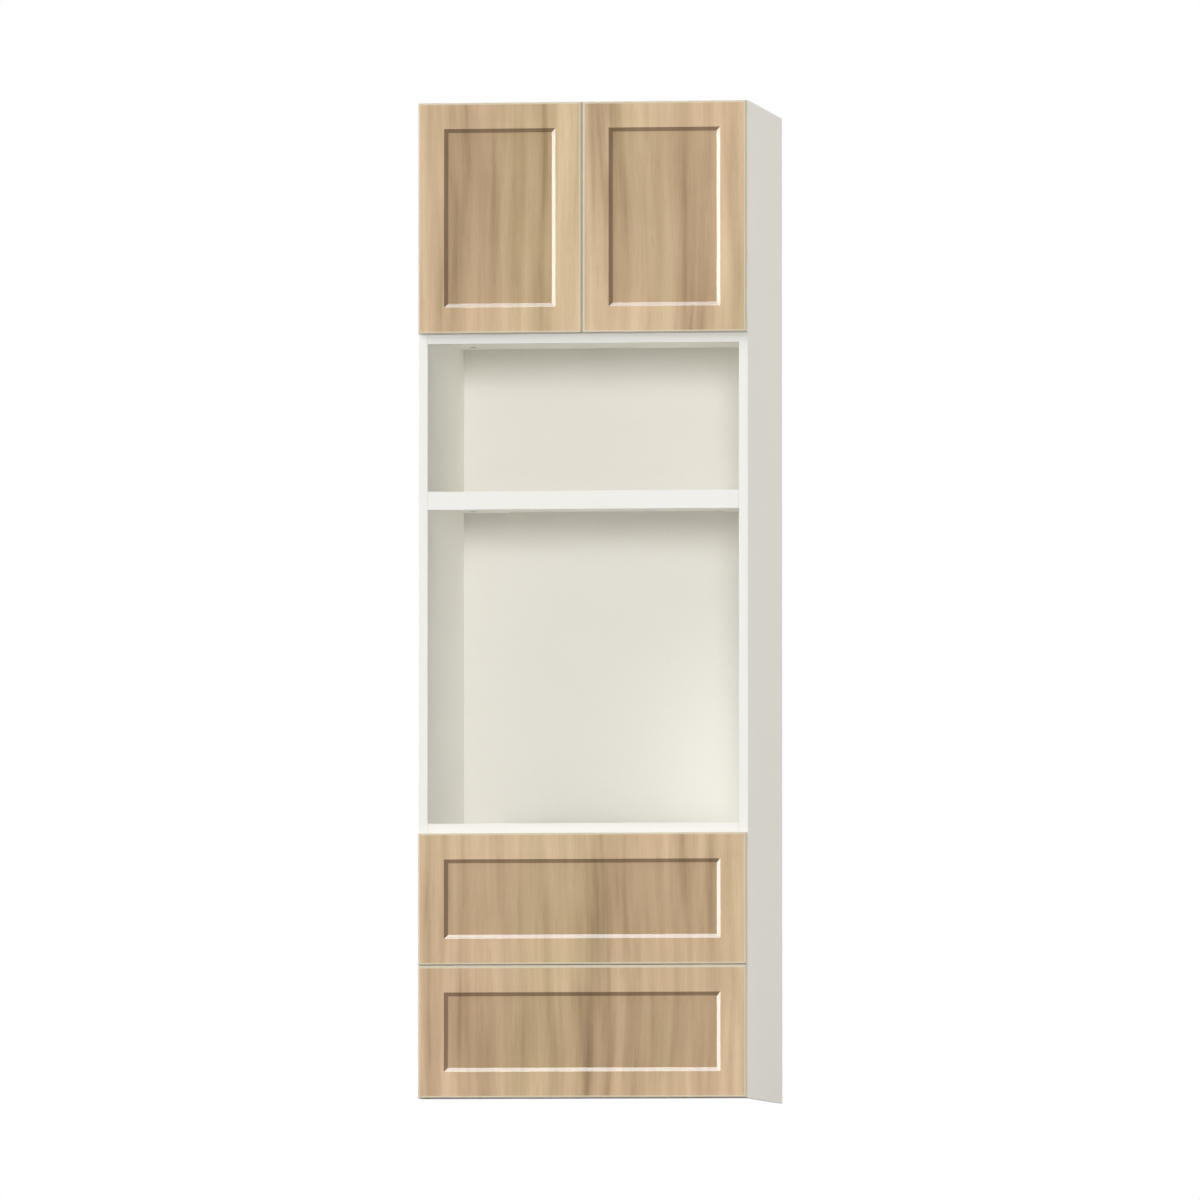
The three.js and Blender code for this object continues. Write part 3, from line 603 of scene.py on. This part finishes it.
# %% Helpers from a tree to a piece
def grown_mesh(name, tree, values, start=None):
    """The plain mesh that a tree grows from its inputs' values."""
    holder = bpy.data.objects.new(name, start or bpy.data.meshes.new(name))
    scene.collection.objects.link(holder)
    modifier = holder.modifiers.new("shape", "NODES")
    modifier.node_group = tree
    for item in tree.interface.items_tree:
        if item.name in values:
            modifier[item.identifier] = values[item.name]
    evaluated = holder.evaluated_get(bpy.context.evaluated_depsgraph_get())
    mesh = bpy.data.meshes.new_from_object(evaluated)
    bpy.data.objects.remove(holder)
    while None in mesh.materials[:]:
        mesh.materials.pop(index=mesh.materials[:].index(None))
    mesh.name = name
    return mesh


def add_piece(name, mesh, body):
    """A finished piece, whose mesh is already in its place, on its body."""
    piece = bpy.data.objects.new(name, mesh)
    scene.collection.objects.link(piece)
    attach(piece, body)
    return piece


# %% Bores and finishes of a front
BORE_SIDES = 56
REAR_LIMIT = -0.5


def bored(tree, size, shape):
    """Cuts a line of round holes into the back, for the hinge cups."""
    half = calculate(tree, "MULTIPLY", size["Bore spread"], -0.5)
    first = add(tree, "ShaderNodeCombineXYZ", {0: size["Bore side"], 1: half}).outputs[0]
    apart = add(tree, "ShaderNodeCombineXYZ", {1: size["Bore spread"]}).outputs[0]
    spots = add(tree, "GeometryNodeMeshLine", {"Count": size["Bores"], "Start Location": first,
                                               "Offset": apart}).outputs[0]
    drill = add(tree, "GeometryNodeMeshCylinder", {
        "Vertices": BORE_SIDES, "Radius": size["Bore radius"],
        "Depth": calculate(tree, "MULTIPLY", size["Bore depth"], 2.0)}).outputs["Mesh"]
    drills = add(tree, "GeometryNodeInstanceOnPoints", {"Points": spots, "Instance": drill})
    cutters = add(tree, "GeometryNodeRealizeInstances", {0: drills.outputs[0]}).outputs[0]
    return add(tree, "GeometryNodeMeshBoolean", {"Mesh 1": shape, "Mesh 2": cutters},
               operation="DIFFERENCE", solver="EXACT").outputs["Mesh"]


def foiled(tree, size, shape):
    """Foil all round, and the plain back finish on faces that look backwards."""
    normal = add(tree, "GeometryNodeInputNormal").outputs[0]
    upright = add(tree, "ShaderNodeSeparateXYZ", {0: normal}).outputs["Z"]
    rear = add(tree, "FunctionNodeCompare", {0: upright, 1: REAR_LIMIT},
               operation="LESS_THAN").outputs[0]
    wrapped = add(tree, "GeometryNodeSetMaterial", {"Geometry": shape, "Material": size["Foil"]})
    return add(tree, "GeometryNodeSetMaterial", {
        "Geometry": wrapped.outputs[0], "Selection": rear, "Material": size["Back"]}).outputs[0]


# %% One step of a routed front
def step(tree, shape, chosen, rise, inset, easing):
    """Pushes the chosen face up, draws its corners inward and marks the new walls with their share
    of painted highlight or shade.
    """
    push = add(tree, "GeometryNodeExtrudeMesh", {
        "Mesh": shape, "Selection": chosen, "Offset Scale": rise, "Individual": False})
    corner = vector_result(tree, "SIGN", add(tree, "GeometryNodeInputPosition").outputs[0])
    inward = calculate(tree, "MULTIPLY", inset, -1.0)
    both_ways = add(tree, "ShaderNodeCombineXYZ", {0: inward, 1: inward}).outputs[0]
    drawn = add(tree, "GeometryNodeSetPosition", {
        "Geometry": push.outputs["Mesh"], "Selection": push.outputs["Top"],
        "Offset": vector_result(tree, "MULTIPLY", corner, both_ways)})
    marked = add(tree, "GeometryNodeStoreNamedAttribute", {
        "Geometry": drawn.outputs[0], "Selection": push.outputs["Side"],
        "Name": "easing", "Value": easing}, domain="FACE")
    return marked.outputs[0], push.outputs["Top"]


# %% The tree of a routed front
EASED_STEPS = 4


def front_tree():
    """The tree that draws a door or a drawer front, lying on its back."""
    lengths = ("Width", "Height", "Thickness", "Edge radius", "Rim width", "Frame width",
               "Slope width", "Recess depth", "Bore radius", "Bore depth", "Bore side",
               "Bore spread")
    tree, size = new_tree("routed_front", {
        **dict.fromkeys(lengths, "float"), "Bores": "count", "Foil": "material",
        "Back": "material",
    })
    sheet = add(tree, "GeometryNodeMeshGrid", {"Size X": size["Width"], "Size Y": size["Height"],
                                               "Vertices X": 2, "Vertices Y": 2}).outputs["Mesh"]
    radius = size["Edge radius"]

    wall = calculate(tree, "SUBTRACT", size["Thickness"], radius)
    shape, top = step(tree, sheet, True, wall, 0.0, EDGE_SHARE)
    for i in range(EASED_STEPS):
        angles = [math.pi / 2 * (i + k) / EASED_STEPS for k in (0, 1)]
        rise = calculate(tree, "MULTIPLY", radius, math.sin(angles[1]) - math.sin(angles[0]))
        inset = calculate(tree, "MULTIPLY", radius, math.cos(angles[0]) - math.cos(angles[1]))
        shape, top = step(tree, shape, top, rise, inset, EDGE_SHARE)
    # A flat ring inside the eased edge, marked for a painted highlight.
    shape, top = step(tree, shape, top, 0.0, size["Rim width"], RIM_SHARE)
    rim_end = calculate(tree, "ADD", radius, size["Rim width"])
    frame_left = calculate(tree, "SUBTRACT", size["Frame width"], rim_end)
    shape, top = step(tree, shape, top, 0.0, frame_left, 0.0)
    sink = calculate(tree, "MULTIPLY", size["Recess depth"], -1.0)
    shape, top = step(tree, shape, top, sink, size["Slope width"], 0.0)

    back = add(tree, "GeometryNodeFlipFaces", {"Mesh": sheet}).outputs[0]
    sides = add(tree, "GeometryNodeJoinGeometry")
    feed(tree, sides.inputs[0], back)
    feed(tree, sides.inputs[0], shape)
    closed = add(tree, "GeometryNodeMergeByDistance", {"Geometry": sides.outputs[0]}).outputs[0]
    whole = add(tree, "GeometryNodeRealizeInstances", {0: bored(tree, size, closed)}).outputs[0]
    end_tree(tree, foiled(tree, size, whole))
    return tree


routed_front = front_tree()
print("tree", routed_front.name, "with", len(routed_front.nodes), "nodes")

# %% Make the four fronts
FRONT_SIZES = {"Edge radius": 0.0025, "Rim width": 0.0024, "Frame width": 0.060,
               "Slope width": 0.009, "Recess depth": RECESS_DEPTH, "Bore radius": 0.0175,
               "Bore depth": 0.0118}
BORE_FROM_EDGE = 0.0225
FRONTS = {
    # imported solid: (body, foil, which side its hinges are on)
    "left_door": ("left_door", "left_door", -1),
    "right_door": ("right_door", "right_door", 1),
    "upper_drawer_front": ("upper_drawer", "drawers", 0),
    "lower_drawer_front": ("lower_drawer", "drawers", 0),
}


def middle_height(name):
    """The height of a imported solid's middle."""
    low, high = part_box(name)
    return (low.z + high.z) / 2


hinge_spread = middle_height("left_hinge_cup_upper") - middle_height("left_hinge_cup_lower")
stand = Matrix.Rotation(math.pi / 2, 4, "X")
for name, (body, foil, hinge_side) in FRONTS.items():
    low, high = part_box(name)
    size = high - low
    values = dict(FRONT_SIZES, Width=size.x, Height=size.z, Thickness=size.y,
                  Foil=foils[foil], Back=door_back, Bores=2 if hinge_side else 0)
    values["Bore side"] = hinge_side * (size.x / 2 - BORE_FROM_EDGE)
    values["Bore spread"] = hinge_spread
    mesh = grown_mesh(f"{name}_routed", routed_front, values)
    foot = Vector(((low.x + high.x) / 2, high.y, middle_height(name)))
    mesh.transform(Matrix.Translation(foot) @ stand)
    front = add_piece(f"{name}_routed", mesh, body)
    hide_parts(name)
    print(front.name, "has", len(mesh.polygons), "faces")

# %% [markdown]
# ## Seals in the gaps
# The gaps between the doors and between the drawers look pale, not black, because a slim soft
# seal sits in each. A seal has a flat foot on one front's edge and a round bulb that stops just
# short of the other front. A gap is straight, so one outline with an arc is pushed along it.

# %% Helper for a swept outline
def swept_mesh(name, outline, along, material):
    """A closed outline, pushed along a vector, with both ends closed."""
    count = len(outline)
    points = [*outline, *[point + along for point in outline]]
    walls = [(i, (i + 1) % count, count + (i + 1) % count, count + i) for i in range(count)]
    ends = [tuple(range(count))[::-1], tuple(range(count, 2 * count))]
    mesh = bpy.data.meshes.new(name)
    mesh.from_pydata(points, [], walls + ends)
    shell = bmesh.new()
    shell.from_mesh(mesh)
    bmesh.ops.recalc_face_normals(shell, faces=shell.faces)
    shell.to_mesh(mesh)
    shell.free()
    mesh.materials.append(material)
    return mesh


# %% Outline of a seal
SEAL_WIDTH = 0.0045
SEAL_CLEARANCE = 0.0006
BULB_STEPS = 10


def seal_outline(foot, out, gap):
    """A D-shaped outline: a foot along +Y from a point, and a bulb that rises across the gap."""
    reach = gap - SEAL_CLEARANCE
    angles = [math.pi * i / BULB_STEPS for i in range(BULB_STEPS + 1)]
    return [foot + Vector((0, SEAL_WIDTH / 2 * (1 - math.cos(a)), 0)) + out * (reach * math.sin(a))
            for a in angles]


def add_seal(name, body, foot, out, gap, along):
    """A seal from its foot along a gap, with its bulb rising out across the gap."""
    mesh = swept_mesh(name, seal_outline(foot, out, gap), along, seal_plastic)
    return add_piece(name, mesh, body)


# %% Seals between the fronts
SEAL_SETBACK = 0.0032
SEAL_END_GAP = 0.003

seal_depth = FRONT_FACE + SEAL_SETBACK
left_low, left_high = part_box("left_door")
door_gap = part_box("right_door")[0].x - left_high.x
add_seal("left_door_seal", "left_door",
         Vector((left_high.x, seal_depth, left_low.z + SEAL_END_GAP)), Vector((1, 0, 0)),
         door_gap, Vector((0, 0, left_high.z - left_low.z - 2 * SEAL_END_GAP)))
drawer_low, drawer_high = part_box("lower_drawer_front")
drawer_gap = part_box("upper_drawer_front")[0].z - drawer_high.z
add_seal("lower_drawer_seal", "lower_drawer",
         Vector((drawer_low.x + SEAL_END_GAP, seal_depth, drawer_high.z)), Vector((0, 0, 1)),
         drawer_gap, Vector((drawer_high.x - drawer_low.x - 2 * SEAL_END_GAP, 0, 0)))
print("seals fill gaps of", round(door_gap, 4), "and", round(drawer_gap, 4))

# %% [markdown]
# ## Boards with eased edges
# A sawn and banded board never has a razor-sharp edge: it is scraped to a tiny radius, which
# catches a thin line of light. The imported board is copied, its loose triangles are merged into
# whole faces, and a narrow bevel runs along every sharp edge. The grooves and notches stay.

# %% Helper for eased edges
EASING_SEGMENTS = 2
SHARP_ANGLE = math.radians(30)
FLAT_ANGLE = math.radians(1)
MERGE_DISTANCE = 0.00001


def eased_copy(name, solid, easing):
    """A copy of a packed board: merged, with whole faces and eased edges."""
    shell = bmesh.new()
    shell.from_mesh(solid.data)
    bmesh.ops.remove_doubles(shell, verts=shell.verts, dist=MERGE_DISTANCE)
    bmesh.ops.dissolve_limit(shell, angle_limit=FLAT_ANGLE, verts=shell.verts, edges=shell.edges)
    sharp = [edge for edge in shell.edges if edge.calc_face_angle(0) > SHARP_ANGLE]
    bmesh.ops.bevel(shell, geom=sharp, offset=easing, segments=EASING_SEGMENTS, profile=0.5,
                    affect="EDGES", clamp_overlap=True)
    mesh = bpy.data.meshes.new(name)
    shell.to_mesh(mesh)
    shell.free()
    return mesh


# %% Ease the edges of the boards
BOARD_EASING = 0.0006
BOX_EASING = 0.0012
BOARD_SLOTS = {carcass_board: "melamine_board", back_board: "backing_board",
               box_board: "drawer_board"}

eased = []
for name, solid in nodes.items():
    finish = finish_of(name)
    if name in FRONTS or finish not in BOARD_SLOTS:
        continue
    easing = BOX_EASING if finish == box_board else BOARD_EASING
    mesh = eased_copy(f"{name}_eased", solid, easing)
    mesh.materials.append(finish)
    board = add_piece(f"{name}_eased", mesh, body_with[name])
    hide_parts(name)
    eased.append(board)
print("eased", len(eased), "boards,", sum(len(board.data.polygons) for board in eased), "faces")

# %% [markdown]
# ## Round heads
# Screws, rivets, cam fittings and door buffers all show as small round heads on a surface. One
# Geometry Nodes tree does them all: it turns a point that knows which way it faces into a domed
# head, cuts a cross recess into it if it has one, and spins each head by a random angle, as
# the fitter leaves it.

# %% A domed head
HEAD_SIDES = 24
HEAD_RINGS = 3


def domed_head(tree, radius, height, dome):
    """A disc that stands on its face, with a domed top."""
    disc = add(tree, "GeometryNodeMeshCylinder", {
        "Vertices": HEAD_SIDES, "Fill Segments": HEAD_RINGS, "Radius": radius, "Depth": height,
    }, fill_type="TRIANGLE_FAN").outputs
    place = add(tree, "GeometryNodeInputPosition").outputs[0]
    level = vector_result(tree, "MULTIPLY", place, (1, 1, 0))
    from_axis = add(tree, "ShaderNodeVectorMath", {0: level}, operation="LENGTH").outputs["Value"]
    share = calculate(tree, "DIVIDE", from_axis, radius)
    bulge = calculate(tree, "SUBTRACT", 1.0, calculate(tree, "MULTIPLY", share, share))
    rise = calculate(tree, "MULTIPLY", bulge, dome)
    domed = add(tree, "GeometryNodeSetPosition", {
        "Geometry": disc["Mesh"], "Selection": disc["Top"],
        "Offset": add(tree, "ShaderNodeCombineXYZ", {2: rise}).outputs[0]}).outputs[0]
    half = calculate(tree, "MULTIPLY", height, 0.5)
    lift = add(tree, "ShaderNodeCombineXYZ", {2: half}).outputs[0]
    return add(tree, "GeometryNodeTransform", {"Geometry": domed, "Translation": lift}).outputs[0]


# %% A cross recess in a head
RECESS_SHARE = 0.22
RECESS_FLOOR_SHARE = 0.35
BLADE_SHARE = 4.0
LEAST_RECESS = 0.0001


def cross_cut(tree, seated, height, recess):
    """The head with a cross recess in it, or as it is if it has none."""
    tall = calculate(tree, "MULTIPLY", height, BLADE_SHARE)
    narrow = calculate(tree, "MULTIPLY", recess, RECESS_SHARE)
    middle = calculate(tree, "MULTIPLY", height, BLADE_SHARE / 2 + RECESS_FLOOR_SHARE)
    lift = add(tree, "ShaderNodeCombineXYZ", {2: middle}).outputs[0]
    cut = add(tree, "GeometryNodeMeshBoolean", {"Mesh 1": seated}, operation="DIFFERENCE",
              solver="EXACT")
    for across, along in ((recess, narrow), (narrow, recess)):
        blade = add(tree, "GeometryNodeMeshCube", {
            "Size": add(tree, "ShaderNodeCombineXYZ", {0: across, 1: along, 2: tall}).outputs[0]})
        lifted = add(tree, "GeometryNodeTransform", {"Geometry": blade.outputs["Mesh"],
                                                     "Translation": lift})
        feed(tree, cut.inputs["Mesh 2"], lifted.outputs[0])
    has_recess = add(tree, "FunctionNodeCompare", {0: recess, 1: LEAST_RECESS},
                     operation="GREATER_THAN")
    return add(tree, "GeometryNodeSwitch", {
        "Switch": has_recess.outputs[0], "False": seated, "True": cut.outputs["Mesh"],
    }, input_type="GEOMETRY").outputs[0]


# %% The tree of the round heads
def heads_tree():
    """The tree that sets a head on each spot, facing the way that the spot says."""
    tree, size = new_tree("round_heads", {
        "Spots": "mesh", "Head radius": "float", "Head height": "float", "Dome height": "float",
        "Recess width": "float", "Seed": "count", "Finish": "material",
    })
    seated = domed_head(tree, size["Head radius"], size["Head height"], size["Dome height"])
    head = cross_cut(tree, seated, size["Head height"], size["Recess width"])
    facing = add(tree, "GeometryNodeInputNamedAttribute", {"Name": "facing"},
                 data_type="FLOAT_VECTOR").outputs["Attribute"]
    aimed = add(tree, "FunctionNodeAlignRotationToVector", {"Vector": facing}, axis="Z").outputs[0]
    turn = add(tree, "FunctionNodeRandomValue", {2: 0.0, 3: 2 * math.pi, "Seed": size["Seed"]},
               data_type="FLOAT").outputs[1]
    spin = add(tree, "FunctionNodeAxisAngleToRotation", {
        "Axis": (0, 0, 1), "Angle": turn}).outputs[0]
    turned = add(tree, "FunctionNodeRotateRotation", {"Rotation": aimed, "Rotate By": spin},
                 rotation_space="LOCAL").outputs[0]
    heads = add(tree, "GeometryNodeInstanceOnPoints", {
        "Points": size["Spots"], "Instance": head, "Rotation": turned}).outputs[0]
    real = add(tree, "GeometryNodeRealizeInstances", {0: heads}).outputs[0]
    end_tree(tree, add(tree, "GeometryNodeSetMaterial", {
        "Geometry": real, "Material": size["Finish"]}).outputs[0])
    return tree


round_heads = heads_tree()
print("tree", round_heads.name, "with", len(round_heads.nodes), "nodes")

# %% The kinds of head, and where they go
HEAD_KINDS = {
    # kind: (radius, height, dome height, recess width, finish, slot)
    "cup_screw": (0.0037, 0.0010, 0.0008, 0.0042, nickel, "nickel_steel"),
    "plate_screw": (0.0036, 0.0010, 0.0008, 0.0042, nickel, "nickel_steel"),
    "clamp_screw": (0.0037, 0.0012, 0.0007, 0.0044, nickel, "nickel_steel"),
    "rivet": (0.0026, 0.0005, 0.0004, 0, nickel, "nickel_steel"),
    "cabinet_screw": (0.0024, 0.0006, 0.0004, 0.0030, zinc, "zinc_steel"),
    "runner_screw": (0.0042, 0.0010, 0.0008, 0.0046, zinc, "zinc_steel"),
    "bracket_screw": (0.0036, 0.0009, 0.0008, 0.0042, zinc, "zinc_steel"),
    "cam": (0.0075, 0.0005, 0.0001, 0.0090, zinc, "zinc_steel"),
    "buffer": (0.0040, 0.0008, 0.0009, 0, buffer_plastic, None),
}
SIDES = {"left": -1, "right": 1}
LEVELS = ("lower", "upper")
heads_made = {}


def add_heads(kind, body, spots):
    """One mesh with all heads of a kind on a body. A spot is (place, facing)."""
    radius, height, dome, recess, finish, slot = HEAD_KINDS[kind]
    loose = bpy.data.meshes.new(f"{body}_{kind}_spots")
    loose.from_pydata([place for place, _ in spots], [], [])
    facing = loose.attributes.new("facing", "FLOAT_VECTOR", "POINT")
    for entry, (_, direction) in zip(facing.data, spots):
        entry.vector = direction
    mesh = grown_mesh(f"{body}_{kind}s", round_heads, {
        "Head radius": radius, "Head height": height, "Dome height": dome, "Recess width": recess,
        "Seed": len(heads_made), "Finish": finish}, loose)
    heads_made[f"{body}_{kind}s"] = len(spots)
    return add_piece(f"{body}_{kind}s", mesh, body)


# %% [markdown]
# ### Heads of the hinges
# Each cup is held by two screws beside the bore, each mounting plate by two screws in the side
# panel, and the arm by one clamp screw on the plate. The four ends of the two pivots are riveted.

# %% Screws and rivets of the hinges
CUP_SCREW_IN = 0.0095
CUP_SCREW_SPREAD = 0.024
PLATE_SCREW_BACK = 0.0065
PLATE_SCREW_SPREAD = 0.016
PLATE_SHEET = 0.0016
CLAMP_FROM_SIDE = 0.0312
CLAMP_SETBACK = 0.0575
PIVOTS = (
    # (in from the unit's side, back from the carcass's front)
    (0.03925, 0.0284),
    (0.0351, 0.00569),
)
ARM_HALF_WIDTH = 0.0081
UNIT_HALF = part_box("right_side_panel")[1].x

plate_spots, clamp_spots, rivet_spots = [], [], []
for side, sign in SIDES.items():
    cup_spots = []
    for level in LEVELS:
        cup_low, cup_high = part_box(f"{side}_hinge_cup_{level}")
        plate_low, plate_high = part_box(f"{side}_hinge_plate_{level}")
        height = middle_height(f"{side}_hinge_cup_{level}")
        ear = sign * (min(abs(cup_low.x), abs(cup_high.x)) + CUP_SCREW_IN)
        sheet = sign * (max(abs(plate_low.x), abs(plate_high.x)) - PLATE_SHEET)
        for end in (-1, 1):
            cup_spots.append(((ear, cup_high.y, height + end * CUP_SCREW_SPREAD), (0, 1, 0)))
            plate_spots.append(((sheet, plate_low.y + PLATE_SCREW_BACK,
                                 height + end * PLATE_SCREW_SPREAD), (-sign, 0, 0)))
            rivet_spots += [((sign * (UNIT_HALF - u), CARCASS_FRONT + v,
                              height + end * ARM_HALF_WIDTH), (0, 0, end)) for u, v in PIVOTS]
        clamp_spots.append(((sign * (UNIT_HALF - CLAMP_FROM_SIDE), CARCASS_FRONT + CLAMP_SETBACK,
                             height), (-sign, 0, 0)))
    add_heads("cup_screw", f"{side}_door", cup_spots)
add_heads("plate_screw", "carcass", plate_spots)
add_heads("clamp_screw", "carcass", clamp_spots)
add_heads("rivet", "carcass", rivet_spots)
print("hinge heads", heads_made)

# %% [markdown]
# ### Heads in the carcass and on the drawers
# Cam fittings pull the decks to the sides: each shows as a round disc with a cross near a deck's
# corner. Runner screws sit in the runners' bores, and soft buffers stop the fronts quietly.

# %% Cam fittings
CAM_DECKS = {
    # deck: 1 if its cams are on top, and -1 if they are underneath
    "top_panel": -1, "cupboard_deck": -1, "niche_deck": -1, "oven_deck": -1, "bottom_panel": 1,
}
CAM_IN = 0.034
CAM_BACKS = (-0.2, 0.2)

cam_spots = []
for deck, up in CAM_DECKS.items():
    low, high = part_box(deck)
    face = high.z if up > 0 else low.z
    cam_spots += [((sign * (high.x - CAM_IN), back, face), (0, 0, up))
                  for sign in SIDES.values() for back in CAM_BACKS]
add_heads("cam", "carcass", cam_spots)
print(len(cam_spots), "cams")

# %% Runner screws and the buffers of the drawers
BUFFER_IN = 0.0185
BUFFER_UP = 0.011
RUNNER_WEB = 0.0012
RUNNER_SEAT = 0.0003
RUNNER_BORES = (0.055, 0.275, 0.495)

cabinet_spots = []
for level in LEVELS:
    runner_spots = []
    for side, sign in SIDES.items():
        low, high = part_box(f"{level}_runner_cabinet_{side}")
        inner_low, inner_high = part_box(f"{level}_runner_drawer_{side}")
        seat = sign * (max(abs(low.x), abs(high.x)) - RUNNER_SEAT)
        web = sign * (min(abs(inner_low.x), abs(inner_high.x)) + RUNNER_WEB)
        middle = (low.z + high.z) / 2
        for bore in RUNNER_BORES:
            cabinet_spots.append(((seat, low.y + bore, middle), (-sign, 0, 0)))
            runner_spots.append(((web, low.y + bore, middle), (sign, 0, 0)))
    add_heads("runner_screw", f"{level}_drawer", runner_spots)
    low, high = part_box(f"{level}_drawer_front")
    add_heads("buffer", f"{level}_drawer", [
        ((sign * (high.x - BUFFER_IN / 2), high.y, high.z - BUFFER_UP), (0, 1, 0))
        for sign in SIDES.values()])
add_heads("cabinet_screw", "carcass", cabinet_spots)
print(len(cabinet_spots), "screws hold the runners in the carcass")

# %% Buffers of the doors
for side, sign in SIDES.items():
    low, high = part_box(f"{side}_door")
    inner = min(abs(low.x), abs(high.x)) + BUFFER_IN
    add_heads("buffer", f"{side}_door", [
        ((sign * inner, high.y, height), (0, 1, 0)) for height in (low.z + BUFFER_UP,
                                                                   high.z - BUFFER_UP)])
print("all heads", heads_made)

# %% [markdown]
# ## Brackets and release levers on the drawers
# A bent steel bracket in each corner ties the drawer front to the box. Its outline is an L with a
# small bend, pushed upwards. The runner's release lever is a flat plastic tongue in the channel
# of the drawer member: press it, and the drawer lifts out.

# %% Outline of a bracket
BRACKET_SHEET = 0.0015
BRACKET_LEG = 0.030
BEND_STEPS = 4


def bracket_outline(corner, sign):
    """An L seen from above: one leg on the front's rear face, one on the side's inner face."""
    outer = [(math.cos(a), math.sin(a)) for a in
             (math.pi + math.pi / 2 * i / BEND_STEPS for i in range(BEND_STEPS + 1))]
    bend = 2 * BRACKET_SHEET
    flat = [(bend + bend * c, bend + bend * s) for c, s in outer]
    flat += [(BRACKET_LEG, 0), (BRACKET_LEG, BRACKET_SHEET)]
    flat += [(bend + (bend - BRACKET_SHEET) * c, bend + (bend - BRACKET_SHEET) * s)
             for c, s in reversed(outer)]
    flat += [(BRACKET_SHEET, BRACKET_LEG), (0, BRACKET_LEG)]
    return [corner + Vector((-sign * x, y, 0)) for x, y in flat]


def joined(name, meshes):
    """Several meshes of one finish made into one."""
    shell = bmesh.new()
    for mesh in meshes:
        shell.from_mesh(mesh)
    whole = bpy.data.meshes.new(name)
    shell.to_mesh(whole)
    shell.free()
    whole.materials.append(meshes[0].materials[0])
    return whole


# %% Brackets of a drawer
BRACKET_HEIGHT = 0.036
BRACKET_BASES = (0.032, 0.132)
BRACKET_SEAT = 0.0002
SCREW_ALONG = 0.6 * BRACKET_LEG


def add_brackets(level):
    """The brackets of one drawer and their screws. Gives how many brackets there are."""
    body = f"{level}_drawer"
    brackets, screws = [], []
    front_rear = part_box(f"{body}_front")[1].y
    for side, sign in SIDES.items():
        low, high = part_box(f"{body}_side_{side}")
        face = sign * (min(abs(low.x), abs(high.x)) - BRACKET_SEAT)
        for base in BRACKET_BASES:
            corner = Vector((face, front_rear + BRACKET_SEAT, low.z + base))
            brackets.append(swept_mesh("bracket", bracket_outline(corner, sign),
                                       Vector((0, 0, BRACKET_HEIGHT)), zinc))
            middle = corner.z + BRACKET_HEIGHT / 2
            on_side = (face - sign * BRACKET_SHEET, corner.y + SCREW_ALONG, middle)
            on_front = (face - sign * SCREW_ALONG, corner.y + BRACKET_SHEET, middle)
            screws += [(on_side, (-sign, 0, 0)), (on_front, (0, 1, 0))]
    add_piece(f"{body}_brackets", joined(f"{body}_brackets", brackets), body)
    add_heads("bracket_screw", body, screws)
    return len(brackets)


# %% Release levers of a drawer
LEVER_LENGTH = 0.052
LEVER_HALF = 0.0055
LEVER_SHEET = 0.0024
LEVER_BACK = 0.165
TONGUE = (
    # (share of the length, share of the half width), once round the lever
    (0, -0.4), (0.2, -1), (0.62, -0.62), (1, -0.5), (1.06, 0),
    (1, 0.5), (0.62, 0.62), (0.2, 1), (0, 0.4),
)


def add_levers(level):
    """The release levers in the runners of one drawer. Gives how many there are."""
    body = f"{level}_drawer"
    levers = []
    for side, sign in SIDES.items():
        low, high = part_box(f"{level}_runner_drawer_{side}")
        web = sign * (min(abs(low.x), abs(high.x)) + RUNNER_WEB)
        middle = (low.z + high.z) / 2
        start = low.y + LEVER_BACK
        outline = [Vector((web, start + LEVER_LENGTH * y, middle + LEVER_HALF * z))
                   for y, z in TONGUE]
        levers.append(swept_mesh("lever", outline, Vector((sign * LEVER_SHEET, 0, 0)),
                                 lever_plastic))
    add_piece(f"{body}_release_levers", joined(f"{body}_release_levers", levers), body)
    return len(levers)


# %% Brackets and levers on both drawers
for level in LEVELS:
    print(level, "drawer:", add_brackets(level), "brackets and", add_levers(level), "levers")
